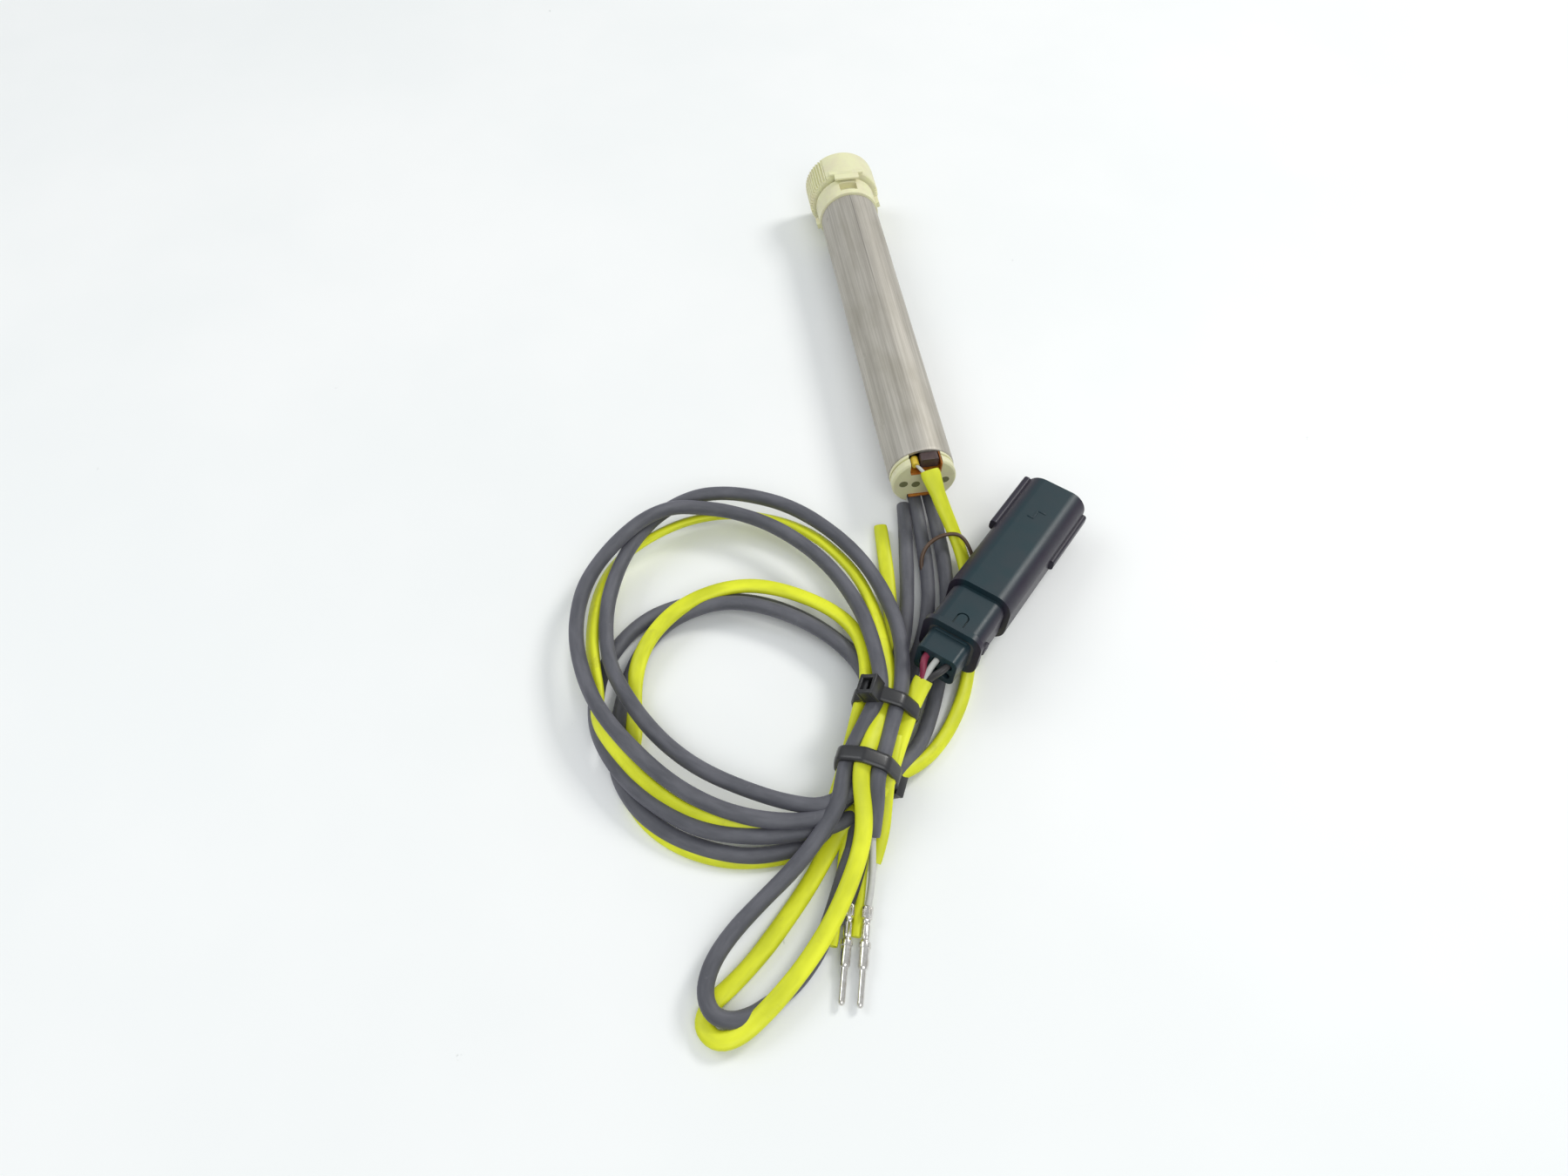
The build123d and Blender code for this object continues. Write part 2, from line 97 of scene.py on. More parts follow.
lamp("window", (0.85, 0.35, 0.95), (0, -0.05, 0), 0.36, 7.2, (1.0, 0.99, 0.96))
lamp("fill", (-0.9, 0.4, 1.1), (0, -0.1, 0), 0.7, 4.2, (0.95, 0.98, 1.0))
lamp("ceiling", (0.05, -0.95, 1.15), (0, -0.1, 0), 0.9, 6.4, (0.98, 1.0, 1.0))

# ---------------------------------------------------------------- finishes


class Field:
    """A shader value or colour whose sums and products become nodes."""

    def __init__(self, finish, socket):
        self.finish = finish
        self.socket = socket

    def __add__(self, other):
        return self.finish.math("ADD", self, other)

    def __sub__(self, other):
        return self.finish.math("SUBTRACT", self, other)

    def __mul__(self, other):
        return self.finish.math("MULTIPLY", self, other)

    def __rsub__(self, other):
        return self.finish.math("SUBTRACT", other, self)

    __radd__ = __add__
    __rmul__ = __mul__


COLOUR_INPUTS = ("Base_Color", "Sheen_Tint")


class Finish:
    """A material under construction. Lengths in its patterns are millimetres."""

    def __init__(self, name):
        self.material = bpy.data.materials.new(name)
        self.material.use_nodes = True
        self.tree = self.material.node_tree
        self.shader = self.tree.nodes["Principled BSDF"]

    def add(self, kind, settings=None, **inputs):
        """One node; inputs are given by socket name with spaces as underscores."""
        node = self.tree.nodes.new(kind)
        for key, value in (settings or {}).items():
            setattr(node, key, value)
        for key, value in inputs.items():
            self.plug(node.inputs[key.replace("_", " ")], value)
        return node

    def plug(self, socket, value):
        """Link a field to a socket, or set the socket's own number or colour."""
        if isinstance(value, Field):
            self.tree.links.new(value.socket, socket)
        else:
            socket.default_value = value

    def math(self, operation, first, second=0.0):
        """One step of arithmetic on fields and numbers."""
        node = self.add("ShaderNodeMath", {"operation": operation})
        self.plug(node.inputs[0], first)
        self.plug(node.inputs[1], second)
        return Field(self, node.outputs[0])

    def where(self, x=1.0, y=1.0, z=1.0):
        """Object coordinates in millimetres, each stretched by its factor."""
        coordinates = self.add("ShaderNodeTexCoord")
        node = self.add("ShaderNodeVectorMath", {"operation": "MULTIPLY"})
        self.tree.links.new(coordinates.outputs["Object"], node.inputs[0])
        node.inputs[1].default_value = (x / MM, y / MM, z / MM)
        return Field(self, node.outputs[0])

    def along(self, around=1.0, length=1.0):
        """The sleeve's own coordinates: turns round it and millimetres along it."""
        coordinates = self.add("ShaderNodeUVMap", {"uv_map": "sleeve"})
        node = self.add("ShaderNodeVectorMath", {"operation": "MULTIPLY"})
        self.tree.links.new(coordinates.outputs["UV"], node.inputs[0])
        node.inputs[1].default_value = (around, length, 0)
        return Field(self, node.outputs[0])

    def part(self, vector, axis):
        """One component of a vector: 0 for x, 1 for y, 2 for z."""
        node = self.add("ShaderNodeSeparateXYZ")
        self.plug(node.inputs[0], vector)
        return Field(self, node.outputs[axis])

    def noise(self, vector, scale=1.0, detail=3.0, roughness=0.55):
        """Cloudy value from 0 to 1."""
        node = self.add(
            "ShaderNodeTexNoise", Vector=vector, Scale=scale, Detail=detail, Roughness=roughness,
        )
        return Field(self, node.outputs["Fac"])

    def specks(self, vector, scale=1.0):
        """Distance to the nearest of many scattered points."""
        node = self.add("ShaderNodeTexVoronoi", Vector=vector, Scale=scale)
        return Field(self, node.outputs["Distance"])

    def ease(self, value, start, end):
        """0 below start, 1 above end, smooth between."""
        node = self.add("ShaderNodeMapRange", {"interpolation_type": "SMOOTHSTEP"})
        self.plug(node.inputs["Value"], value)
        node.inputs["From Min"].default_value = start
        node.inputs["From Max"].default_value = end
        return Field(self, node.outputs["Result"])

    def blend(self, share, first, second):
        """A colour between first and second."""
        node = self.add("ShaderNodeMix", {"data_type": "RGBA"})
        self.plug(node.inputs["Factor"], share)
        for socket, colour in ((node.inputs[6], first), (node.inputs[7], second)):
            self.plug(socket, colour if isinstance(colour, Field) else (*colour, 1.0))
        return Field(self, node.outputs[2])

    def relief(self, height, depth):
        """The surface normal, bumped by a height from 0 to 1 that stands for depth millimetres."""
        node = self.add("ShaderNodeBump", Strength=1.0, Distance=depth * MM)
        self.plug(node.inputs["Height"], height)
        return Field(self, node.outputs["Normal"])

    def set(self, **inputs):
        """Give the surface shader its inputs and hand back the finished material."""
        for key, value in inputs.items():
            if key in COLOUR_INPUTS and not isinstance(value, Field):
                value = (*value, 1.0)
            self.plug(self.shader.inputs[key.replace("_", " ")], value)
        return self.material


def brushed_steel():
    """Drawn tube: streaks along the barrel, faint stains, one fine seam near the top."""
    f = Finish("steel_tube")
    streak = f.noise(f.where(1.6, 0.02, 1.6), 1.0, 4.0, 0.6)
    fine = f.noise(f.where(9.0, 0.12, 9.0), 1.0, 2.0, 0.5)
    stain = f.noise(f.where(0.09, 0.04, 0.09), 1.0, 3.0, 0.6)
    seam = 1.0 - f.ease(f.math("ABSOLUTE", f.part(f.where(), 0) + 0.35), 0.06, 0.2)
    seam = seam * f.ease(f.part(f.where(), 2), 14.0, 16.0) * f.ease(f.part(f.where(), 1), -30.0, 45.0)
    tint = f.blend(f.ease(streak, 0.3, 0.7), (0.42, 0.392, 0.345), (0.57, 0.541, 0.484))
    tint = f.blend(f.ease(stain, 0.42, 0.7) * 0.4, tint, (0.33, 0.30, 0.235))
    tint = f.blend(seam * 0.6, tint, (0.16, 0.15, 0.14))
    return f.set(
        Base_Color=tint,
        Metallic=0.72,
        Roughness=0.44 + 0.16 * streak + 0.08 * fine,
        Normal=f.relief(streak * 0.6 + fine * 0.4, 0.02),
    )


def moulded(name, colour, shade, roughness, grain=0.015):
    """A moulded plastic with a soft mottle of two close tints and a fine grain."""
    f = Finish(name)
    mottle = f.noise(f.where(), 0.22, 3.0)
    grime = f.noise(f.where(), 0.9, 5.0, 0.65)
    tint = f.blend(f.ease(mottle, 0.35, 0.7), colour, shade)
    tint = f.blend(f.ease(grime, 0.6, 0.85) * 0.3, tint, tuple(0.55 * c for c in shade))
    return f.set(
        Base_Color=tint,
        Roughness=roughness - 0.06 + 0.14 * grime,
        Normal=f.relief(f.noise(f.where(), 5.0, 2.0), grain),
    )


def cream():
    """Aged cream moulding, slightly see-through, with dirt in its grain."""
    f = Finish("cream_plastic")
    mottle = f.noise(f.where(), 0.2, 3.0)
    dirt = f.noise(f.where(), 0.8, 5.0, 0.7)
    tint = f.blend(f.ease(mottle, 0.3, 0.7), (0.76, 0.75, 0.47), (0.72, 0.68, 0.46))
    tint = f.blend(f.ease(dirt, 0.62, 0.85) * 0.35, tint, (0.42, 0.40, 0.20))
    return f.set(
        Base_Color=tint,
        Roughness=0.42 + 0.15 * dirt,
        Subsurface_Weight=0.12,
        Subsurface_Radius=(0.002, 0.002, 0.001),
        Subsurface_Scale=0.5,
        Normal=f.relief(f.noise(f.where(), 3.0, 3.0), 0.02),
    )


def dark_sleeve():
    """Soft coated sleeve: rubbed along its length, paler where it was handled."""
    f = Finish("dark_sleeve")
    rub = f.noise(f.along(3.0, 0.06), 1.0, 4.0, 0.6)
    scuff = f.noise(f.along(5.0, 0.5), 1.0, 5.0, 0.7)
    dust = f.noise(f.where(), 1.4, 6.0, 0.75)
    tint = f.blend(f.ease(rub, 0.3, 0.75), (0.070, 0.072, 0.084), (0.125, 0.126, 0.144))
    tint = f.blend(f.ease(scuff, 0.6, 0.85) * 0.5, tint, (0.21, 0.205, 0.23))
    tint = f.blend(f.ease(dust, 0.66, 0.8) * 0.25, tint, (0.30, 0.29, 0.30))
    return f.set(
        Base_Color=tint,
        Roughness=0.5 + 0.2 * scuff,
        Specular_IOR_Level=0.45,
        Sheen_Weight=0.15,
        Sheen_Roughness=0.5,
        Sheen_Tint=(0.75, 0.7, 0.95),
        Normal=f.relief(rub * 0.5 + scuff * 0.35 + dust * 0.15, 0.07),
    )


def yellow_sleeve():
    """Thin flat sleeve: bright, with painted shade that turns it olive in its folds and creases, and smudges
    from handling.
    """
    f = Finish("yellow_sleeve")
    fold_and_painted_shade = f.noise(f.along(2.2, 0.05), 1.0, 3.0, 0.55)
    crease_and_painted_shade = f.noise(f.along(1.2, 0.35), 1.0, 4.0, 0.65)
    smudge = f.noise(f.where(), 0.14, 5.0, 0.7)
    # Folds and creases darken the yellow towards olive: painted shade. The same patterns also drive the bump
    # and roughness.
    tint = f.blend(f.ease(fold_and_painted_shade, 0.3, 0.7), (0.56, 0.60, 0.010), (0.80, 0.84, 0.022))
    tint = f.blend(f.ease(crease_and_painted_shade, 0.6, 0.85) * 0.45, tint, (0.40, 0.42, 0.012))
    tint = f.blend(f.ease(smudge, 0.58, 0.75) * 0.35, tint, (0.36, 0.33, 0.03))
    return f.set(
        Base_Color=tint,
        Roughness=0.42 + 0.16 * crease_and_painted_shade,
        Subsurface_Weight=0.08,
        Subsurface_Radius=(0.001, 0.001, 0.0003),
        Subsurface_Scale=0.5,
        Normal=f.relief(fold_and_painted_shade * 0.6 + crease_and_painted_shade * 0.4, 0.16),
    )


def polish(f):
    """What polished mouldings share: flow marks, dust, fine scratches and the relief of their gloss."""
    flow = f.noise(f.where(), 0.12, 3.0, 0.5)
    scratch = f.noise(f.where(2.0, 0.25, 2.0), 2.0, 4.0, 0.7)
    dust = f.noise(f.where(), 2.2, 5.0, 0.75)
    return flow, scratch, dust, f.relief(scratch * 0.4 + f.noise(f.where(), 6.0, 2.0) * 0.6, 0.012)


def gloss_black(name, colour, roughness, coat):
    """Polished dark moulding in one colour under a thin coat."""
    f = Finish(name)
    flow, scratch, dust, relief = polish(f)
    tint = f.blend(f.ease(flow, 0.3, 0.7), colour, tuple(1.5 * c for c in colour))
    tint = f.blend(f.ease(dust, 0.66, 0.8) * 0.2, tint, (0.16, 0.17, 0.17))
    return f.set(
        Base_Color=tint,
        Roughness=roughness + 0.12 * scratch + 0.08 * flow,
        Coat_Weight=coat,
        Coat_Roughness=0.2,
        Normal=relief,
    )


def connector_plastic():
    """Polished dark moulding, violet-black, with a painted blue-green sky reflection along its flat top."""
    f = Finish("connector_black")
    across = f.part(f.where(), 0) * -0.7314 + f.part(f.where(), 1) * 0.682 + 79.85
    # top: the strip along the plug's flat top, which gets the painted blue-green sky reflection
    top = 1.0 - f.ease(f.math("ABSOLUTE", across), 4.6, 7.4)
    flow, scratch, dust, relief = polish(f)
    # Violet-black flanks; the top strip turns blue-green, a painted reflection of the sky
    tint = f.blend(top, (0.024, 0.018, 0.033), (0.011, 0.033, 0.042))
    tint = f.blend(f.ease(flow, 0.3, 0.7) * 0.4, tint, (0.030, 0.034, 0.042))
    tint = f.blend(f.ease(dust, 0.66, 0.8) * 0.25, tint, (0.13, 0.14, 0.14))
    return f.set(
        Base_Color=tint,
        Roughness=0.3 + 0.12 * scratch + 0.06 * flow,
        Specular_IOR_Level=0.36,
        Normal=relief,
    )


def tin():
    """Bright tinned metal with duller patches."""
    f = Finish("tinned_brass")
    dull = f.noise(f.where(), 0.8, 4.0, 0.6)
    rub = f.noise(f.where(), 4.0, 3.0, 0.6)
    tint = f.blend(f.ease(dull, 0.35, 0.7), (0.80, 0.78, 0.75), (0.66, 0.63, 0.58))
    return f.set(
        Base_Color=tint,
        Metallic=1.0,
        Roughness=0.18 + 0.12 * dull,
        Normal=f.relief(rub, 0.0015),
    )


def amber(name, thin, thick, clearness):
    """Clear amber plastic, deeper where it is thick or creased."""
    f = Finish(name)
    depth = f.noise(f.where(), 0.6, 3.0)
    return f.set(
        Base_Color=f.blend(f.ease(depth, 0.3, 0.7), thin, thick),
        Roughness=0.16 + 0.15 * depth,
        Transmission_Weight=clearness,
        IOR=1.5,
        Coat_Weight=0.4,
        Normal=f.relief(depth, 0.05),
    )


def table_top():
    """Pale laminate with faint clouds and a few flecks."""
    f = Finish("table_top")
    cloud = f.noise(f.where(), 0.006, 4.0, 0.6)
    grain = f.noise(f.where(), 0.9, 3.0)
    fleck = 1.0 - f.ease(f.specks(f.where(), 0.035), 0.012, 0.035)
    tint = f.blend(f.ease(cloud, 0.35, 0.7), (0.86, 0.875, 0.872), (0.90, 0.905, 0.90))
    tint = f.blend(fleck * f.ease(grain, 0.5, 0.6) * 0.35, tint, (0.35, 0.36, 0.35))
    return f.set(Base_Color=tint, Roughness=0.42 + 0.12 * cloud, Specular_IOR_Level=0.35)


FINISHES = {
    "steel_tube": brushed_steel(),
    "cream_plastic": cream(),
    "dark_sleeve": dark_sleeve(),
    "yellow_sleeve": yellow_sleeve(),
    "black_nylon": gloss_black("black_nylon", (0.016, 0.016, 0.018), 0.28, 0.2),
    "connector_black": connector_plastic(),
    "tinned_brass": tin(),
    "amber_film": amber("amber_film", (0.80, 0.30, 0.04), (0.52, 0.14, 0.01), 0.45),
    "amber_splice": amber("amber_splice", (0.82, 0.62, 0.06), (0.70, 0.46, 0.03), 0.15),
    # hole_shade: a dark tint used as painted shade at the bottom of the lead cap's holes
    "hole_shade": moulded("hole_shade", (0.20, 0.20, 0.09), (0.14, 0.14, 0.06), 0.6),
    "plain_steel": moulded("plain_steel", (0.55, 0.55, 0.54), (0.48, 0.48, 0.47), 0.3),
    "dark_plastic": moulded("dark_plastic", (0.040, 0.040, 0.043), (0.055, 0.055, 0.058), 0.5),
    "magnet_grey": moulded("magnet_grey", (0.13, 0.13, 0.14), (0.17, 0.17, 0.18), 0.55),
    "bronze": moulded("bronze", (0.46, 0.29, 0.13), (0.40, 0.24, 0.10), 0.5),
    "seal_rubber": moulded("seal_rubber", (0.05, 0.05, 0.05), (0.07, 0.07, 0.07), 0.65),
    "grey_insert": moulded("grey_insert", (0.055, 0.034, 0.036), (0.085, 0.055, 0.05), 0.3),
    "board_green": moulded("board_green", (0.02, 0.16, 0.07), (0.03, 0.20, 0.09), 0.3),
    "chip_black": moulded("chip_black", (0.02, 0.02, 0.022), (0.03, 0.03, 0.03), 0.45),
    "white_insulation": moulded("white_insulation", (0.58, 0.58, 0.55), (0.50, 0.50, 0.47), 0.45),
    "black_insulation": moulded("black_insulation", (0.035, 0.033, 0.034), (0.05, 0.048, 0.05), 0.4),
    "brown_insulation": moulded("brown_insulation", (0.10, 0.055, 0.03), (0.07, 0.04, 0.025), 0.4),
    "red_insulation": moulded("red_insulation", (0.25, 0.022, 0.060), (0.19, 0.016, 0.042), 0.4),
}
for name in ("plain_steel", "bronze"):
    FINISHES[name].node_tree.nodes["Principled BSDF"].inputs["Metallic"].default_value = 1.0

SLOTS = {row["node"]: row["material_slot"] for row in frame["record"]["subparts"]}
for node, shape in frame["nodes"].items():
    shape.data.materials.clear()
    shape.data.materials.append(FINISHES[SLOTS[node]])

# ---------------------------------------------------------------- making pieces


UPRIGHT = ((1, 0, 0), (0, 1, 0), (0, 0, 1))


def stand(name, mesh, finish, body, sharp):
    """Put a mesh in the scene in a slot's finish, riding on a body, creased where it turns sharply."""
    mesh.shade_smooth()
    mesh.set_sharp_from_angle(angle=math.radians(sharp))
    shape = bpy.data.objects.new(name, mesh)
    scene.collection.objects.link(shape)
    mesh.materials.append(FINISHES[finish])
    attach(shape, body)
    return shape


def piece(name, vertices, faces, finish, body=HARNESS, sharp=35.0, around_along=None):
    """A mesh piece from points in millimetres, with its own coordinates round and along it if given."""
    mesh = bpy.data.meshes.new(name)
    mesh.from_pydata((np.asarray(vertices, float) * MM).tolist(), [], faces)
    mesh.validate()
    if around_along is not None:
        layer = mesh.uv_layers.new(name="sleeve")
        corner = np.empty(len(mesh.loops), np.int32)
        mesh.loops.foreach_get("vertex_index", corner)
        layer.data.foreach_set("uv", np.asarray(around_along, np.float32)[corner].ravel())
    return stand(name, mesh, finish, body, sharp)


def grid_faces(rings, around):
    """Quads between neighbouring rings of points: ring i, step j joins ring i + 1, step j + 1. They face
    outwards where the rings run clockwise as seen looking back along the path."""
    first, step = np.meshgrid(np.arange(rings - 1) * around, np.arange(around), indexing="ij")
    after = (step + 1) % around
    corners = (first + step, first + around + step, first + around + after, first + after)
    return np.stack(corners, axis=-1).reshape(-1, 4).tolist()


def skin_faces(rings, around):
    """Quads between neighbouring rings, and one flat face across each end."""
    faces = grid_faces(rings, around)
    faces.append(list(range(around)))
    faces.append(list(range((rings - 1) * around, rings * around))[::-1])
    return faces


def lofted(name, rings, finish, body=HARNESS, sharp=35.0):
    """A closed skin through rings of points with the same count, flat at both ends."""
    faces = skin_faces(len(rings), len(rings[0]))
    return piece(name, np.concatenate(rings), faces, finish, body, sharp)


def refined(node, body=HARNESS, width=0.18, sharp=38.0):
    """The frame's own solid with its flat faces made whole and its sharp edges softened."""
    work = bmesh.new()
    work.from_mesh(frame["nodes"][node].data)
    bmesh.ops.remove_doubles(work, verts=work.verts, dist=2e-6)
    bmesh.ops.dissolve_limit(work, angle_limit=math.radians(0.8), verts=work.verts, edges=work.edges)
    mesh = bpy.data.meshes.new(node + "_soft")
    work.to_mesh(mesh)
    work.free()
    shape = stand(node + "_soft", mesh, SLOTS[node], body, sharp)
    edge = shape.modifiers.new("softened edges", "BEVEL")
    edge.width = width * MM
    edge.segments = 2
    edge.limit_method = "ANGLE"
    edge.angle_limit = math.radians(sharp)
    flat = shape.modifiers.new("flat faces stay flat", "WEIGHTED_NORMAL")
    flat.mode = "FACE_AREA"
    flat.weight = 100
    flat.keep_sharp = True
    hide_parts(node)
    return shape


def block(name, centre, size, axes, finish, body=HARNESS, round_off=0.3):
    """A box with rounded edges: centre and size in millimetres, axes its three unit directions."""
    place = Matrix.Identity(4)
    for column, (axis, length) in enumerate(zip(axes, size)):
        place.col[column][:3] = Vector(axis) * (length * MM)
    place.translation = Vector(centre) * MM
    work = bmesh.new()
    bmesh.ops.create_cube(work, size=1.0, matrix=place)
    bmesh.ops.recalc_face_normals(work, faces=work.faces)
    bmesh.ops.bevel(
        work, geom=work.edges[:], offset=round_off * MM, segments=3, profile=0.5, affect="EDGES",
    )
    mesh = bpy.data.meshes.new(name)
    work.to_mesh(mesh)
    work.free()
    return stand(name, mesh, finish, body, 35.0)


# ---------------------------------------------------------------- cords


def centre_line(name, points, step=1.0):
    """Points every step millimetres along a smooth curve that the given points steer."""
    data = bpy.data.curves.new(name, "CURVE")
    data.dimensions = "3D"
    spline = data.splines.new("NURBS")
    spline.points.add(len(points) - 1)
    for point, place in zip(spline.points, points):
        point.co = (*(MM * c for c in place), 1.0)
    spline.order_u = 3
    spline.use_endpoint_u = True
    data.resolution_u = 12
    curve = bpy.data.objects.new(name, data)
    scene.collection.objects.link(curve)
    bpy.context.view_layer.update()
    mesh = bpy.data.meshes.new_from_object(curve.evaluated_get(bpy.context.evaluated_depsgraph_get()))
    line = np.array([v.co for v in mesh.vertices], float) / MM
    bpy.data.objects.remove(curve)
    bpy.data.meshes.remove(mesh)
    reach = np.concatenate([[0.0], np.cumsum(np.linalg.norm(np.diff(line, axis=0), axis=1))])
    count = max(4, int(reach[-1] / step) + 1)
    stations = np.linspace(0, reach[-1], count)
    return np.column_stack([np.interp(stations, reach, line[:, k]) for k in range(3)]), stations


def waver(stations, wavelength, seed):
    """A smooth random value from about -1 to 1 along a cord, changing over the wavelength."""
    source = np.random.default_rng(seed)
    knots = np.arange(-2, stations[-1] / wavelength + 4)
    values = source.uniform(-1, 1, len(knots))
    place = stations / wavelength
    whole = np.floor(place).astype(int)
    share = place - whole
    share = share * share * (3 - 2 * share)
    return values[whole + 2] * (1 - share) + values[whole + 3] * share


BORE_DEPTH, MOUTH_LIP, END_EDGE = 2.4, 0.15, 0.06


def sleeve(name, points, width, height, finish, seed, roll=None, sides=20, swell=None, squareness=2.0,
           open_end=None, step=1.0):
    """A soft sleeve swept along a line. Its section is an oval |x/a|^n + |z/b|^n = 1 of width by height
    millimetres with n the squareness. It lies flat, turned by roll degrees (given against the share of its
    length) and widened by swell (given against millimetres), and it wavers a little at random. Where
    open_end is given, both ends are cut square with a hole that wide, as a share of the sleeve."""
    line, stations = centre_line(name, points, step)
    tangent = np.gradient(line, axis=0)
    tangent /= np.linalg.norm(tangent, axis=1)[:, None]
    side = np.cross(tangent, (0, 0, 1.0))
    side /= np.linalg.norm(side, axis=1)[:, None]
    rise = np.cross(side, tangent)
    turn = 0.10 * waver(stations, 35.0, seed + 5)
    if roll is not None:
        share, degrees = np.transpose(roll)
        turn = np.radians(np.interp(stations / stations[-1], share, degrees)) + turn
    wide = np.full(len(stations), width / 2) * (1 + 0.035 * waver(stations, 9.0, seed))
    tall = np.full(len(stations), height / 2) * (1 + 0.05 * waver(stations, 7.0, seed + 1))
    if swell is not None:
        place, wider, taller = np.transpose(swell)
        wide = wide * np.interp(stations, place, wider)
        tall = tall * np.interp(stations, place, taller)
    angle = np.linspace(0, FULL_TURN, sides, endpoint=False)
    bulge = 2.0 / squareness
    across = np.sign(np.cos(angle)) * np.abs(np.cos(angle)) ** bulge
    up = np.sign(np.sin(angle)) * np.abs(np.sin(angle)) ** bulge
    rings, coordinates = [], []

    def ring(at, scale, shift=0.0):
        """One ring of the skin at a station, scaled and moved along the line."""
        flat = across * wide[at] * scale
        deep = up * tall[at] * scale
        x = flat * math.cos(turn[at]) - deep * math.sin(turn[at])
        z = flat * math.sin(turn[at]) + deep * math.cos(turn[at])
        place = line[at] + tangent[at] * shift
        rings.append(place + np.outer(x, side[at]) + np.outer(z, rise[at]))
        coordinates.append(np.column_stack([angle / FULL_TURN, np.full(sides, stations[at] + shift)]))

    last = len(stations) - 1
    if open_end:
        ring(0, open_end * 0.9, BORE_DEPTH)
        ring(0, open_end, MOUTH_LIP)
        ring(0, 0.5 + open_end / 2)
    ring(0, 0.95, END_EDGE)
    for at in range(1, last):
        ring(at, 1.0)
    ring(last, 0.95, -END_EDGE)
    if open_end:
        ring(last, 0.5 + open_end / 2)
        ring(last, open_end, -MOUTH_LIP)
        ring(last, open_end * 0.9, -BORE_DEPTH)
    faces = skin_faces(len(rings), sides)
    uv = np.concatenate(coordinates)
    return piece(name + "_cord", np.concatenate(rings), faces, finish, HARNESS, 50.0, uv), line


# Where the two ties grip the leads: a straight stretch, with places across it given as (right, up)
TIE_START = np.array([-20.5, -127.0, 8.9])
TIE_AHEAD = np.array([-0.442, -0.897, 0.0])
TIE_RIGHT = np.array([0.897, -0.442, 0.0])
UPWARDS = np.array([0, 0, 1.0])
UPPER_TIE, LOWER_TIE = 10.0, 27.3


def grip(ahead, right, up):
    """A point in the tied stretch: ahead along it, right and up across it."""
    return tuple(TIE_START + TIE_AHEAD * ahead + TIE_RIGHT * right + UPWARDS * up)


def both_ties(upper, lower):
    """A lead's way down through both ties, from its place in the upper one to that in the lower."""
    return [
        grip(5.0, *upper), grip(UPPER_TIE + 1, *upper),
        grip(LOWER_TIE - 2, *lower), grip(LOWER_TIE + 4, *lower),
    ]


UPPER_PLACE = {
    "a_feed": (3.6, -3.7), "a_inner": (-4.6, -2.8), "a_wide": (2.9, 4.1),
    "b_inner": (-0.9, -5.2), "b_wide": (-2.2, 4.4), "b_back": (0.2, -1.2),
    "signal_inner": (-5.8, 1.4), "signal_wide": (0.5, 2.5), "signal_back": (6.1, 1.4), "spare": (4.0, 0.2),
}
LOWER_PLACE = {
    "a_feed": (-1.2, -5.0), "a_inner": (0.6, 0.4), "a_wide": (3.2, 3.8),
    "b_feed": (5.2, -3.4), "b_inner": (-2.8, 0.2), "b_wide": (-4.9, 2.8), "b_back": (2.2, -4.6),
    "signal_feed": (3.6, -2.2), "signal_inner": (-5.2, -1.4), "signal_wide": (-1.0, 4.9),
    "signal_back": (5.6, 0.8), "spare": (0.4, -2.8), "long_end": (-3.0, -3.2),
}


def through(lead):
    """A named lead's way down through both ties."""
    return both_ties(UPPER_PLACE[lead], LOWER_PLACE[lead])


lead_a_points = [
    (-2.1, -62, 4.6), (-2.1, -69, 4.5), (-2.4, -78, 2.9), (-3.2, -90, 2.1), (-5.2, -102, 2.1),
    (-9, -113, 2.5), (-14, -122, 4),
    *through("a_feed"),
    (-43, -164.5, 3), (-54, -167, 2.2), (-64, -167, 2.2), (-74, -163.5, 2.2), (-83, -158, 2.4),
    (-90.5, -149.5, 2.6), (-94, -139, 2.3), (-92.5, -127, 2.2), (-89, -115, 2.2), (-84.5, -106, 2.2),
    (-77.5, -99, 3), (-68, -96, 4.6), (-59, -96.2, 5.6), (-50, -99.4, 5.8), (-41, -105, 5.8),
    (-33.5, -112.5, 6.2), (-28, -121, 6),
    *through("a_inner"),
    (-44, -160, 9), (-52, -157.5, 8.2), (-61, -153, 8), (-72, -146, 8), (-80, -138, 8), (-86, -129, 8),
    (-91, -118, 8), (-93, -110, 8), (-93, -100, 8), (-91, -89, 8), (-85.5, -76.5, 8), (-78, -67.5, 8),
    (-69.5, -62, 8), (-61, -60, 8), (-50.5, -62, 8), (-38, -68.5, 8.2), (-27.5, -80, 8.4),
    (-20.5, -93, 8.8), (-17.2, -108, 9.8), (-17.4, -120, 11.6),
    *through("a_wide"),
    (-32, -160.5, 9.6), (-34.2, -167.5, 5.4),
]
